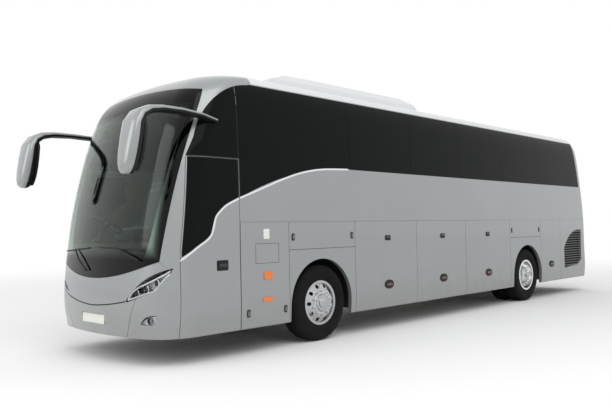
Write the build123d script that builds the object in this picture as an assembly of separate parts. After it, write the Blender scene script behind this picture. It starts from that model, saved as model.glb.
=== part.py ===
from build123d import *
import math
import os
from collections import namedtuple

# Main sizes in millimetres; stations run rearwards from the front axle
FRONT_OVERHANG = 2735.0
WHEELBASE = 6130.0
REAR_OVERHANG = 3035.0
REAR_STATION = WHEELBASE + REAR_OVERHANG
HALF_WIDTH = 1275.0
SKIRT_Z = 325.0
SEAM_Z = 1632.0
WINDOW_Z = 2385.0
WINDOW_TOP_Z = 3385.0
ROOF_SPLIT_Z = 3400.0
ROOF_Z = 3545.0
FRONT_RADIUS = 4000.0

# Thicknesses and clearances
WALL = 60.0
GLASS = 7.5
GLASS_BED = 8.0
PANEL_GAP = 6.0
SEAT_GAP = 0.3
RUNNING_GAP = 0.3
REACH = 400.0

# Plan sections of the body: one row per height
Section = namedtuple("Section", "z set_back half_width corner rear_in rear_corner drop")
BODY_SECTIONS = [
    Section(SKIRT_Z, 30, HALF_WIDTH - 13, 480, 20, 200, 0.0),
    Section(520, 0, HALF_WIDTH, 480, 0, 200, 0.0),
    Section(950, 0, HALF_WIDTH, 480, 0, 200, 0.0),
    Section(SEAM_Z, 78, HALF_WIDTH, 480, 8, 200, 0.0),
    Section(2250, 208, HALF_WIDTH - 11, 480, 75, 200, 0.0),
    Section(2960, 432, HALF_WIDTH - 37, 480, 185, 200, 0.0),
    Section(3250, 600, HALF_WIDTH - 67, 480, 255, 200, 0.3),
    Section(3400, 790, HALF_WIDTH - 115, 500, 325, 220, 0.6),
    Section(3490, 1010, HALF_WIDTH - 195, 520, 410, 240, 0.85),
    Section(ROOF_Z, 1300, HALF_WIDTH - 375, 520, 600, 240, 1.0),
]

# Side stations
DOOR_FRONT_LOW = -2335.0
DOOR_FRONT_MID = -2320.0
DOOR_MID_Z = 1300.0
DOOR_FRONT_TOP = -2189.0
DOOR_TOP_Z = 2410.0
DOOR_REAR = -1460.0
MASK_REAR = -1150.0
REAR_SPLIT_LOW = 8965.0
REAR_SPLIT_TOP = 8650.0
SERVICE_END = -630.0
FRONT_ARCH_END = 710.0
HOLD_END = 5400.0
REAR_ARCH_END = 6740.0
HATCH_END = 7700.0
PANE_SEAMS = (DOOR_REAR, 650.0, 2165.0, 3660.0, 5160.0, 6660.0, 8160.0, 8800.0)
PANE_GAP = 5.0
PILLAR = 60.0
LUGGAGE_SEAMS = (FRONT_ARCH_END, 2252.0, 3757.0, HOLD_END)

# Wheels and axles
TYRE_R = 522.0
TYRE_HALF = 149.0
TYRE_BORE = 295.0
TREAD_HALF = 118.0
SHOULDER_R = 470.0
BEAD_HALF = 125.0
WHEEL_X = 1091.0
TWIN_X = 761.0
ARCH_R = 605.0
LINER_FRONT_R = 655.0
LINER_REAR_R = 615.0
LINER = 7.0
KINGPIN_X = 880.0
KINGPIN_R = 24.0
STUB_R = 45.0
REAR_STUB_R = 60.0
STEER_ARM = 250.0
TIE_ROD_Z = 470.0
HAND_HOLES = 10
HAND_HOLE_R = 27.0

# Underframe and floors
HOLD_FLOOR_Z = 380.0
PLATE = 30.0
AISLE_Z = 1440.0
PLATFORM_Z = 1640.0
FLOOR = 40.0
AISLE_HALF = 230.0
DECK_Z = 1140.0
FRAME_HALF = 1195.0
RAIL_X = 430.0
RAIL_W = 80.0
RAIL_Z0 = 640.0
RAIL_Z1 = 760.0
BULKHEAD_FRONT = 735.0
BULKHEAD_REAR = 5370.0

# Entrance door arm
POST_X = HALF_WIDTH - 150.0
POST_Y = DOOR_FRONT_LOW + 110.0
POST_R = 22.0
ARM_REACH = 530.0
ARM_ELBOW = 200.0
ARM_BEND = 55.0
ARM_HEIGHTS = (700.0, 1650.0)
ARM_W = 40.0
ARM_T = 24.0
PIN_R = 12.0

# Top hinge of the luggage doors and the engine lid
BEAD_R = 5.0
BEAD_IN = 4.5
BEAD_UP = 4.7
REBATE_IN = BEAD_IN + BEAD_R + 0.7
REBATE_UP = BEAD_UP + BEAD_R + SEAT_GAP
LID_HALF = 900.0
LID_LOW = 760.0

# Mirrors
MIRROR_X = 1300.0
MIRROR_Y = -2950.0
MIRROR_HALF_X = 165.0
MIRROR_HALF_Y = 100.0
MIRROR_LOW = 2150.0
MIRROR_TOP = 2780.0
MIRROR_FRONT = MIRROR_Y - MIRROR_HALF_Y

# The row origin lies below the middle of the whole length
ORIGIN_STATION = (MIRROR_FRONT + REAR_STATION) / 2

# Each view: how its two numbers and a depth become a point
VIEWS = {
    "side": lambda a, b, depth: placed(depth, a, b),
    "front": lambda a, b, depth: placed(a, depth, b),
}


def placed(x, station, z):
    """Return the point of the row frame at a station behind the front axle."""
    return Vector(x, station - ORIGIN_STATION, z)


def pieces(shape):
    """Return the solids of a shape or of a list of shapes as a flat list."""
    if shape is None:
        return []
    if isinstance(shape, (list, tuple)):
        return [solid for item in shape for solid in pieces(item)]
    return list(shape.solids())


def joined(*shapes):
    """Return the union of all solids given."""
    solids = pieces(list(shapes))
    return solids[0].fuse(*solids[1:]) if len(solids) > 1 else solids[0]


def block(x0, x1, y0, y1, z0, z1):
    """Return a box between two corners."""
    box = Solid.make_box(abs(x1 - x0), abs(y1 - y0), abs(z1 - z0))
    return box.moved(Location(placed(min(x0, x1), min(y0, y1), min(z0, z1))))


def rod(start, end, radius):
    """Return a round bar from start to end."""
    foot = placed(*start)
    axis = placed(*end) - foot
    return Solid.make_cylinder(radius, axis.length, Plane(origin=foot, z_dir=axis))


def mirrored(shape):
    """Return the shape mirrored to the other side of the vehicle."""
    return [solid.mirror(Plane.YZ) for solid in pieces(shape)]


def prism(view, steps, low, high):
    """Extrude an outline along its view axis; a step of two points is an arc."""
    place = VIEWS[view]
    edges = []
    at = place(*steps[0], low)
    for step in steps[1:] + [steps[0]]:
        if isinstance(step[0], tuple):
            end = place(*step[1], low)
            edges.append(Edge.make_three_point_arc(at, place(*step[0], low), end))
        else:
            end = place(*step, low)
            if (end - at).length > 1e-6:
                edges.append(Edge.make_line(at, end))
        at = end
    return Solid.extrude(Face(Wire(edges)), place(0, 0, high) - place(0, 0, low))


def plan_wire(section, inset, lower):
    """Return one plan section of the body, moved in by the inset."""
    half = section.half_width - inset
    corner = section.corner - inset
    sweep = FRONT_RADIUS - inset
    front = -FRONT_OVERHANG + section.set_back + inset
    centre = front + sweep
    corner_x = half - corner
    corner_y = centre - math.sqrt((sweep - corner) ** 2 - corner_x ** 2)
    share = sweep / (sweep - corner)
    join_x = corner_x * share
    join_y = centre + (corner_y - centre) * share
    turn = math.radians(45) - math.atan2(corner_x, centre - corner_y) / 2
    mid_x = corner_x + corner * math.cos(turn)
    mid_y = corner_y - corner * math.sin(turn)
    rear = REAR_STATION - section.rear_in - inset
    bend = section.rear_corner - inset
    slack = bend * (1 - math.sqrt(0.5))
    z = section.z - inset * section.drop - lower

    def at(x, y):
        return placed(x, y, z)

    return Wire([
        Edge.make_three_point_arc(at(-join_x, join_y), at(0, front), at(join_x, join_y)),
        Edge.make_three_point_arc(at(join_x, join_y), at(mid_x, mid_y), at(half, corner_y)),
        Edge.make_line(at(half, corner_y), at(half, rear - bend)),
        Edge.make_three_point_arc(at(half, rear - bend), at(half - slack, rear - slack), at(half - bend, rear)),
        Edge.make_line(at(half - bend, rear), at(bend - half, rear)),
        Edge.make_three_point_arc(at(bend - half, rear), at(slack - half, rear - slack), at(-half, rear - bend)),
        Edge.make_line(at(-half, rear - bend), at(-half, corner_y)),
        Edge.make_three_point_arc(at(-half, corner_y), at(-mid_x, mid_y), at(-join_x, join_y)),
    ])


def body_solid(inset):
    """Return the body's outer form moved in by the inset; an inset one is open below."""
    wires = []
    for row, section in enumerate(BODY_SECTIONS):
        lower = WALL if inset and row == 0 else 0.0
        wires.append(plan_wire(section, inset, lower))
    return Solid.make_loft(wires)


OUTER = body_solid(0.0)
INNER = body_solid(WALL)
BED = body_solid(GLASS_BED)
GLASS_BACK = body_solid(GLASS)
CABIN = body_solid(WALL + SEAT_GAP)
FACE = body_solid(-SEAT_GAP)


def panel(form, back=INNER):
    """Return the part of the body shell inside a prism."""
    return pieces([solid - back for solid in pieces(form & OUTER)])


def cut(solids, *tools):
    """Subtract tools from every solid and return the flat list."""
    result = pieces(list(solids) if isinstance(solids, list) else [solids])
    for tool in pieces(list(tools)):
        result = pieces([solid - tool for solid in result])
    return result


def stacked(*shapes):
    """Return the solids, each cut back by the ones before it, so that they meet face to face."""
    stack = []
    for solid in pieces(list(shapes)):
        stack += cut(solid, *stack)
    return stack


def glazing_bed(form):
    """Return the part of a prism outside the glass bed, where a pane lies."""
    return pieces([solid - BED for solid in pieces(form)])


def pane(form):
    """Return a pane of glass flush with the body inside a prism."""
    return panel(form, GLASS_BACK)


# Side outlines as station and height
SIDE = (HALF_WIDTH - REACH, HALF_WIDTH + REACH)
GLASS_FRONT = [((-1835, 3090), (-2080, 2650))]
SWOOSH = ((-325, 2300), (650, WINDOW_Z))


def wall_outline():
    """Side wall with the window band, behind the front mask and above the seam."""
    return [
        (DOOR_REAR, SEAM_Z),
        (REAR_SPLIT_LOW, SEAM_Z),
        (REAR_SPLIT_TOP, ROOF_SPLIT_Z),
        (MASK_REAR, ROOF_SPLIT_Z),
        (-1240, 3372),
        *GLASS_FRONT,
        (DOOR_FRONT_TOP, DOOR_TOP_Z + PANEL_GAP),
        (DOOR_REAR, DOOR_TOP_Z + PANEL_GAP),
    ]


def door_outline(gap):
    """Entrance door, smaller than its opening by the gap."""
    return [
        (DOOR_FRONT_LOW + gap, SKIRT_Z - 1),
        (DOOR_REAR - gap, SKIRT_Z - 1),
        (DOOR_REAR - gap, DOOR_TOP_Z),
        (DOOR_FRONT_TOP + gap, DOOR_TOP_Z),
        (DOOR_FRONT_MID + gap, DOOR_MID_Z),
    ]


def door_glass_outline(margin):
    """Glass of the door above its swept lower edge."""
    return [
        (DOOR_FRONT_MID + 18 + margin, 1240 + margin),
        (-1909, 1476 + margin),
        ((-1752, 1776 + margin), (DOOR_REAR - 14 - margin, 1930 + margin)),
        (DOOR_REAR - 14 - margin, DOOR_TOP_Z - 8 - margin),
        (DOOR_FRONT_TOP + 18 + margin, DOOR_TOP_Z - 8 - margin),
        (DOOR_FRONT_MID + 18 + margin, DOOR_MID_Z + margin),
    ]


def band_outline():
    """Window band behind the door, with the swept lower edge at the front."""
    return [
        (DOOR_REAR + 4, 1932),
        SWOOSH,
        (PANE_SEAMS[-1] + 15, WINDOW_Z),
        (PANE_SEAMS[-1] - 165, WINDOW_TOP_Z),
        (DOOR_REAR + 4, WINDOW_TOP_Z),
    ]


def quarter_outline():
    """Fixed glass above the entrance door."""
    return [
        (DOOR_REAR, DOOR_TOP_Z + 14),
        (DOOR_REAR, WINDOW_TOP_Z),
        (-1240, WINDOW_TOP_Z),
        (-1240, 3372),
        *GLASS_FRONT,
        (DOOR_FRONT_TOP + 4, DOOR_TOP_Z + 14),
    ]


def side_wall():
    """Left wall with its openings, and the glass panes that lie in it."""
    wall = panel(prism("side", wall_outline(), *SIDE))
    quarter = prism("side", quarter_outline(), *SIDE)
    band = prism("side", band_outline(), *SIDE)
    front_strip = block(*SIDE, DOOR_FRONT_LOW, DOOR_REAR - PANE_GAP / 2, WINDOW_Z, WINDOW_TOP_Z)
    wall = cut(wall, glazing_bed(band), glazing_bed(quarter))
    wall_form = prism("side", wall_outline(), *SIDE)
    glass = pieces([pane(item) for item in pieces(pieces(quarter & front_strip)[0] & wall_form)])
    for front, rear in zip(PANE_SEAMS, PANE_SEAMS[1:]):
        strip = block(*SIDE, front + PANE_GAP / 2, rear - PANE_GAP / 2, SEAM_Z, WINDOW_TOP_Z)
        glass += pieces([pane(item) for item in pieces(pieces(band & strip)[0] & wall_form)])
        slope = 120 if rear == PANE_SEAMS[-1] else 0
        opening = [
            (front + PILLAR, WINDOW_Z + PILLAR),
            (rear - PILLAR, WINDOW_Z + PILLAR),
            (rear - PILLAR - slope, WINDOW_TOP_Z - PILLAR),
            (front + PILLAR, WINDOW_TOP_Z - PILLAR),
        ]
        wall = cut(wall, prism("side", opening, *SIDE))
    corner_opening = [
        (DOOR_FRONT_TOP + 90, DOOR_TOP_Z + 14 + PILLAR),
        (DOOR_REAR - PILLAR, DOOR_TOP_Z + 14 + PILLAR),
        (DOOR_REAR - PILLAR, WINDOW_TOP_Z - 2 * PILLAR),
        ((-1780, 3060), (DOOR_FRONT_TOP + 150, 2660)),
    ]
    wall = cut(wall, prism("side", corner_opening, *SIDE))
    groove = block(HALF_WIDTH - REBATE_IN, HALF_WIDTH + REACH, DOOR_REAR - 1, REAR_SPLIT_LOW + 1,
                   SEAM_Z - 1, SEAM_Z + REBATE_UP)
    return cut(wall, groove), glass


def lower_panel(start, end, top):
    """Skirt panel between two stations."""
    outline = [
        (start + PANEL_GAP / 2, SKIRT_Z - 1),
        (end - PANEL_GAP / 2, SKIRT_Z - 1),
        (end - PANEL_GAP / 2, top),
        (start + PANEL_GAP / 2, top),
    ]
    return panel(prism("side", outline, *SIDE))


def arch_cutter(station):
    """Wheel arch opening through a skirt panel."""
    outline = [
        (station - ARCH_R, 0),
        (station + ARCH_R, 0),
        (station + ARCH_R, TYRE_R),
        ((station, TYRE_R + ARCH_R), (station - ARCH_R, TYRE_R)),
    ]
    return prism("side", outline, *SIDE)


def grille_outline(margin):
    """Air inlet in the rear corner panel."""
    return [
        (7866 + margin, 560 + margin),
        (8595, 611 + margin),
        (8800 - margin, 712 + margin),
        (8837 - margin, 1398 - margin),
        ((8186, 1286 - margin), (7870 + margin, 998)),
    ]


def fixed_skirts():
    """Left skirt panels that do not open, and the inlet grille in the last one."""
    skirts = lower_panel(DOOR_REAR + PANEL_GAP / 2, SERVICE_END, SEAM_Z)
    skirts += cut(lower_panel(SERVICE_END, FRONT_ARCH_END, SEAM_Z), arch_cutter(0.0))
    skirts += cut(lower_panel(HOLD_END, REAR_ARCH_END, SEAM_Z), arch_cutter(WHEELBASE))
    skirts += lower_panel(REAR_ARCH_END, HATCH_END, SEAM_Z)
    inlet = prism("side", grille_outline(0), *SIDE)
    skirts += cut(lower_panel(HATCH_END, REAR_SPLIT_LOW, SEAM_Z), inlet)
    frame = panel(inlet)
    inner = prism("side", grille_outline(24), *SIDE)
    slats = pieces([frame[0] & inner])
    grille = cut(frame, inner)
    count = 16
    pitch = (1398 - 560) / count
    for index in range(count):
        low = 560 + index * pitch
        bar = block(HALF_WIDTH - 40, HALF_WIDTH + REACH, 7800, 8900, low + 8, low + 24)
        grille += pieces([item & bar for item in slats])
    return skirts, [joined(*grille)]


def luggage_door(start, end):
    """Left luggage door with the hinge bead along its top edge."""
    leaf = lower_panel(start, end, SEAM_Z - PANEL_GAP)
    front = start + PANEL_GAP / 2
    rear = end - PANEL_GAP / 2
    x = HALF_WIDTH - BEAD_IN
    z = SEAM_Z + BEAD_UP
    bead = rod((x, front, z), (x, rear, z), BEAD_R)
    neck = block(x - 2.5, x + 2.5, front, rear, SEAM_Z - PANEL_GAP - 4, z)
    return joined(leaf, neck, bead)


# Front outlines as distance from the middle and height
FRONT = (-FRONT_OVERHANG - REACH, DOOR_FRONT_LOW)
HEAD_LOW = (675.0, 745.0)
HEAD_TIP = (1209.0, 1123.0)
SCREEN_CORNER = (1105.0, 1203.0)
SCREEN_MID_Z = 1000.0
SCREEN_TOP = (1104.0, 3250.0)
SCREEN_TOP_MID_Z = 3300.0
MASK_LOW_Z = 1110.0


def head_outline():
    """Left headlamp."""
    return [
        HEAD_LOW,
        ((850, 915), HEAD_TIP),
        (1195, 1059),
        (1079, 862),
        (904, 800),
        (706, 736),
    ]


def fog_outline():
    """Left fog lamp."""
    return [(899, 489), ((985, 575), (1102, 593)), ((1085, 530), (1045, 489))]


def front_panel_outline(gap):
    """Access panel between the windscreen and the bumper."""
    x, z = SCREEN_CORNER
    low_x, low_z = HEAD_LOW
    return [
        (-x, z - gap),
        ((0, SCREEN_MID_Z - gap), (x, z - gap)),
        (1183, 1104),
        (850, 850),
        (low_x, low_z),
        ((0, 672), (-low_x, low_z)),
        (-850, 850),
        (-1183, 1104),
    ]


def bumper_outline():
    """Middle part of the front bumper."""
    low_x, low_z = HEAD_LOW
    return [
        (-low_x - 10, low_z - PANEL_GAP),
        ((0, 672 - PANEL_GAP), (low_x + 10, low_z - PANEL_GAP)),
        (845, 790),
        (641, SKIRT_Z - 1),
        (-641, SKIRT_Z - 1),
        (-845, 790),
    ]


def screen_form(margin):
    """Prisms whose common part bounds the windscreen, smaller by the margin."""
    side = [
        (-2507 - margin, 900),
        (-2507 - margin, 1200),
        ((-2302 - margin, 2117), (-1875 - margin, 3251)),
        (-1800 - margin, 3420),
        (-FRONT_OVERHANG - REACH, 3420),
        (-FRONT_OVERHANG - REACH, 900),
    ]
    x, z = SCREEN_CORNER
    top_x, top_z = SCREEN_TOP
    front = [
        (-HALF_WIDTH, z + 40 + margin),
        (-x, z + margin),
        ((0, SCREEN_MID_Z + margin), (x, z + margin)),
        (HALF_WIDTH, z + 40 + margin),
        (HALF_WIDTH, top_z - margin),
        (top_x, top_z - margin),
        ((0, SCREEN_TOP_MID_Z - margin), (-top_x, top_z - margin)),
        (-HALF_WIDTH, top_z - margin),
    ]
    across = prism("side", side, -HALF_WIDTH - REACH, HALF_WIDTH + REACH)
    along = prism("front", front, -FRONT_OVERHANG - REACH, 0)
    return pieces(across & along)[0]


def front_end():
    """Front mask, windscreen, access panel, bumper, bumper corners and lamps."""
    whole = (-HALF_WIDTH - REACH, HALF_WIDTH + REACH)
    door_both = prism("side", door_outline(0), *whole)
    wall_both = prism("side", wall_outline(), *whole)
    ahead = block(*whole, -FRONT_OVERHANG - REACH, MASK_REAR, SKIRT_Z - 1, ROOF_Z + 1)
    behind_door = block(*whole, DOOR_REAR, MASK_REAR + 1, SKIRT_Z - 2, DOOR_TOP_Z)
    front_shell = cut(panel(ahead), door_both, wall_both, behind_door)
    head = prism("front", head_outline(), *FRONT)
    heads = pieces([head, mirrored(head)])
    fog = prism("front", fog_outline(), *FRONT)
    fogs = pieces([fog, mirrored(fog)])
    access = prism("front", front_panel_outline(0), *FRONT)
    access_small = prism("front", front_panel_outline(PANEL_GAP), *FRONT)
    bumper_form = prism("front", bumper_outline(), *FRONT)
    screen = screen_form(0)
    lamps = pieces([item & lamp for lamp in heads + fogs for item in front_shell])
    upper = block(*whole, -FRONT_OVERHANG - REACH, MASK_REAR + 1, MASK_LOW_Z, ROOF_Z + 2)
    lower = block(*whole, -FRONT_OVERHANG - REACH, DOOR_REAR, SKIRT_Z - 2, MASK_LOW_Z)
    mask = pieces([item & upper for item in front_shell])
    mask = cut(mask, access, *heads)
    mask = cut(mask, glazing_bed(screen), screen_form(50))
    mask = [max(mask, key=lambda item: item.volume)]
    screen_pane = pane(screen)
    access_panel = cut(pieces([item & access_small for item in front_shell]), screen, *heads)
    access_panel = [max(access_panel, key=lambda item: item.volume)]
    bumper = cut(pieces([item & bumper_form for item in front_shell]), *heads)
    pad = block(-270, 270, -FRONT_OVERHANG - REACH, -FRONT_OVERHANG + 11, 440, 572)
    bumper = cut(bumper, pad)
    corners = pieces([item & lower for item in front_shell])
    seam = prism("front", [(641 - PANEL_GAP, SKIRT_Z - 2), (641 + PANEL_GAP, SKIRT_Z - 2),
                           (845 + PANEL_GAP, 790), (845 - PANEL_GAP, 790)], *FRONT)
    corners = cut(corners, access, screen, bumper_form, seam, mirrored(seam), *heads, *fogs)
    corners = [item for item in corners if item.volume > 1e5]
    return mask, screen_pane, access_panel, bumper, corners, lamps


def rear_end():
    """Rear wall, rear glass, engine lid, rear bumper with its uprights, and lamps."""
    whole = (-HALF_WIDTH - REACH, HALF_WIDTH + REACH)
    back = REAR_STATION + REACH
    split = [
        (REAR_SPLIT_LOW, SKIRT_Z - 1),
        (back, SKIRT_Z - 1),
        (back, ROOF_SPLIT_Z),
        (REAR_SPLIT_TOP, ROOF_SPLIT_Z),
        (REAR_SPLIT_LOW, SEAM_Z),
    ]
    shell = panel(prism("side", split, *whole))
    above = block(*whole, 0, back, SEAM_Z, ROOF_SPLIT_Z + 1)
    wall = pieces([item & above for item in shell])
    window = prism("front", [(-1010, 2450), (1010, 2450), (960, 3260), (-960, 3260)], WHEELBASE, back)
    hole = prism("front", [(-940, 2520), (940, 2520), (890, 3190), (-890, 3190)], WHEELBASE, back)
    wall = cut(wall, glazing_bed(window), hole)
    glass = pane(window)
    rear = REAR_STATION - BODY_SECTIONS[3].rear_in
    groove = block(*whole, rear - REBATE_IN, back, SEAM_Z - 1, SEAM_Z + REBATE_UP)
    wall = cut(wall, groove)
    below = block(*whole, 0, back, SKIRT_Z - 2, SEAM_Z)
    low = pieces([item & below for item in shell])
    lid_form = block(-LID_HALF, LID_HALF, WHEELBASE, back, LID_LOW, SEAM_Z - PANEL_GAP)
    lid = pieces([item & lid_form for item in low])
    y = rear - BEAD_IN
    z = SEAM_Z + BEAD_UP
    bead = rod((-LID_HALF, y, z), (LID_HALF, y, z), BEAD_R)
    neck = block(-LID_HALF, LID_HALF, y - 2.5, y + 2.5, SEAM_Z - PANEL_GAP - 4, z)
    lid = joined(lid, neck, bead)
    opening = block(-LID_HALF - PANEL_GAP, LID_HALF + PANEL_GAP, WHEELBASE, back,
                    LID_LOW - PANEL_GAP, SEAM_Z + 1)
    lamp = block(970, 1110, WHEELBASE, back, 900, 1480)
    lamp_forms = pieces([lamp, mirrored(lamp)])
    lamps = pieces([item & form for form in lamp_forms for item in low])
    bumper = cut(low, opening, *lamp_forms)
    return wall, glass, [lid], bumper, lamps


def roof():
    """Roof panel behind the front mask and above the walls."""
    form = block(-HALF_WIDTH - REACH, HALF_WIDTH + REACH, MASK_REAR, REAR_STATION + REACH,
                 ROOF_SPLIT_Z, ROOF_Z + 1)
    return panel(form)


def roof_pod():
    """Air-conditioning housing on the flat of the roof."""
    outline = [
        (-607, ROOF_Z),
        (-560, ROOF_Z + 60),
        (-180, ROOF_Z + 180),
        (300, ROOF_Z + 196),
        (2560, ROOF_Z + 196),
        (2860, ROOF_Z + 120),
        (2928, ROOF_Z),
    ]
    half = 885.0
    pod = prism("side", outline, -half, half)
    section = prism("front", [(-half, ROOF_Z), (half, ROOF_Z), (half - 25, ROOF_Z + 90), (half - 130, ROOF_Z + 200),
                              (130 - half, ROOF_Z + 200), (25 - half, ROOF_Z + 90)], -1000, 3200)
    return pieces(pod & section)


def revolved(outline, x, station, z):
    """Turn an outline of radius and distance along X about an axle."""
    points = [Vector(distance, radius, 0) for radius, distance in outline]
    edges = [Edge.make_line(a, b) for a, b in zip(points, points[1:] + points[:1])]
    solid = Solid.revolve(Face(Wire(edges)), 360, Axis.X)
    return solid.moved(Location(placed(x, station, z)))


def tyre(x, station):
    """Tyre about one wheel centre."""
    outline = [
        (TYRE_BORE, -BEAD_HALF),
        (SHOULDER_R, -TYRE_HALF),
        (TYRE_R, -TREAD_HALF),
        (TYRE_R, TREAD_HALF),
        (SHOULDER_R, TYRE_HALF),
        (TYRE_BORE, BEAD_HALF),
    ]
    return revolved(outline, x, station, TYRE_R)


def barrel_outline():
    """Rim barrel with a flange outside each bead."""
    seat = TYRE_BORE - SEAT_GAP
    return [
        (seat - 26, -BEAD_HALF - 11),
        (TYRE_BORE + 8, -BEAD_HALF - 11),
        (TYRE_BORE + 8, -BEAD_HALF - 2),
        (seat, -BEAD_HALF - 2),
        (seat, BEAD_HALF + 2),
        (TYRE_BORE + 8, BEAD_HALF + 2),
        (TYRE_BORE + 8, BEAD_HALF + 11),
        (seat - 26, BEAD_HALF + 11),
    ]


def hand_holes(x0, x1, station, circle):
    """Round holes through a wheel disc."""
    holes = []
    for index in range(HAND_HOLES):
        angle = 2 * math.pi * index / HAND_HOLES
        y = station + circle * math.cos(angle)
        z = TYRE_R + circle * math.sin(angle)
        holes.append(rod((x0, y, z), (x1, y, z), HAND_HOLE_R))
    return holes


def front_rim():
    """Left front wheel: barrel, outward disc and hub in one piece."""
    x = WHEEL_X
    barrel = revolved(barrel_outline(), x, 0, TYRE_R)
    disc = revolved([(272, 96), (272, 118), (200, 160), (120, 166), (112, 180), (70, 182),
                     (70, 178), (70, 120), (STUB_R + RUNNING_GAP, 120), (STUB_R + RUNNING_GAP, -60),
                     (95, -60), (95, 120), (120, 142), (195, 138)], x, 0, TYRE_R)
    cap = revolved([(0.0, 150), (71, 150), (71, 182), (45, 190), (0.0, 190)], x, 0, TYRE_R)
    rim = joined(barrel, disc, cap)
    return cut(rim, *hand_holes(x, x + 200, 0, 232))


def rear_rims():
    """Left rear twin wheels: two barrels, their discs bolted together and the hub."""
    station = WHEELBASE
    mid = (WHEEL_X + TWIN_X) / 2
    outer = revolved(barrel_outline(), WHEEL_X, station, TYRE_R)
    inner = revolved(barrel_outline(), TWIN_X, station, TYRE_R)
    bore = REAR_STUB_R + RUNNING_GAP
    disc = revolved([(272, 55), (272, 40), (215, -20), (215, -34), (272, -60), (272, -40), (272, -46)][:4]
                    + [(bore, -34), (bore, 20), (150, 20), (150, 0), (200, 0)], mid, station, TYRE_R)
    back = revolved([(200, -30), (272, -60), (272, -40), (215, -14), (150, -14), (150, -30)], mid, station, TYRE_R)
    hub = revolved([(bore, -60), (150, -60), (150, 30), (125, 60), (125, 120), (bore, 120)], mid, station, TYRE_R)
    cap = revolved([(0.0, 110), (100, 110), (100, 150), (60, 165), (0.0, 165)], mid, station, TYRE_R)
    rims = joined(outer, inner, disc, back, hub, cap)
    return cut(rims, *hand_holes(mid - 100, mid + 100, station, 236))


def front_axle():
    """Dropped axle beam with a boss for each kingpin."""
    half = [(0, 380), (720, 380), (800, 470), (KINGPIN_X, 470), (KINGPIN_X, 580), (780, 580), (690, 480), (0, 480)]
    arm = prism("front", half, -50, 50)
    boss = rod((KINGPIN_X, 0, 450), (KINGPIN_X, 0, 590), 50)
    bore = rod((KINGPIN_X, 0, 440), (KINGPIN_X, 0, 600), KINGPIN_R + RUNNING_GAP)
    beam = joined(arm, mirrored(arm), boss, mirrored(boss))
    return cut(beam, bore, mirrored(bore))


def knuckle():
    """Left steering knuckle: fork, kingpin, stub axle and track-rod arm."""
    x = KINGPIN_X
    pin = rod((x, 0, 420), (x, 0, 620), KINGPIN_R)
    ears = [rod((x, 0, 410), (x, 0, 444), 50), rod((x, 0, 596), (x, 0, 630), 50)]
    webs = [block(x, x + 86, -50, 50, 410, 444), block(x, x + 86, -50, 50, 596, 630)]
    plate = block(x + 56, x + 86, -50, 50, 410, 630)
    stub = rod((x + 80, 0, TYRE_R), (WHEEL_X + 140, 0, TYRE_R), STUB_R)
    arm = block(x - 22, x + 22, 0, STEER_ARM, 412, 442)
    stud = rod((x, STEER_ARM, 430), (x, STEER_ARM, TIE_ROD_Z + 24), 14)
    end = rod((x, STEER_ARM, 412), (x, STEER_ARM, 442), 22)
    return joined(pin, ears, webs, plate, stub, arm, stud, end)


def tie_rod():
    """Track rod with an eye round each arm stud."""
    bar = rod((-KINGPIN_X, STEER_ARM, TIE_ROD_Z), (KINGPIN_X, STEER_ARM, TIE_ROD_Z), 17)
    eye = rod((KINGPIN_X, STEER_ARM, TIE_ROD_Z - 20), (KINGPIN_X, STEER_ARM, TIE_ROD_Z + 20), 30)
    hole = rod((KINGPIN_X, STEER_ARM, TIE_ROD_Z - 30), (KINGPIN_X, STEER_ARM, TIE_ROD_Z + 30), 14 + RUNNING_GAP)
    return cut(joined(bar, eye, mirrored(eye)), hole, mirrored(hole))


def rear_axle():
    """Drive axle: tube, differential housing, stubs and spring carriers."""
    tube = rod((-700, WHEELBASE, TYRE_R), (700, WHEELBASE, TYRE_R), 95)
    ball = rod((-160, WHEELBASE, TYRE_R), (160, WHEELBASE, TYRE_R), 220)
    stub = rod((690, WHEELBASE, TYRE_R), (1030, WHEELBASE, TYRE_R), REAR_STUB_R)
    carrier = block(430, 540, WHEELBASE - 620, WHEELBASE + 620, 560, 640)
    saddle = block(440, 530, WHEELBASE - 80, WHEELBASE + 80, TYRE_R, 600)
    return [joined(tube, ball, stub, mirrored(stub), carrier, mirrored(carrier), saddle, mirrored(saddle))]


def springs():
    """Air springs between the axles and the underframe."""
    rows = [(585, 0, 480, 700, 90), (470, WHEELBASE - 510, 640, 860, 105), (470, WHEELBASE + 510, 640, 860, 105)]
    bellows = []
    for x, station, low, high, radius in rows:
        bellows.append(rod((x, station, low + SEAT_GAP), (x, station, high - SEAT_GAP), radius))
    return bellows + mirrored(bellows)


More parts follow.
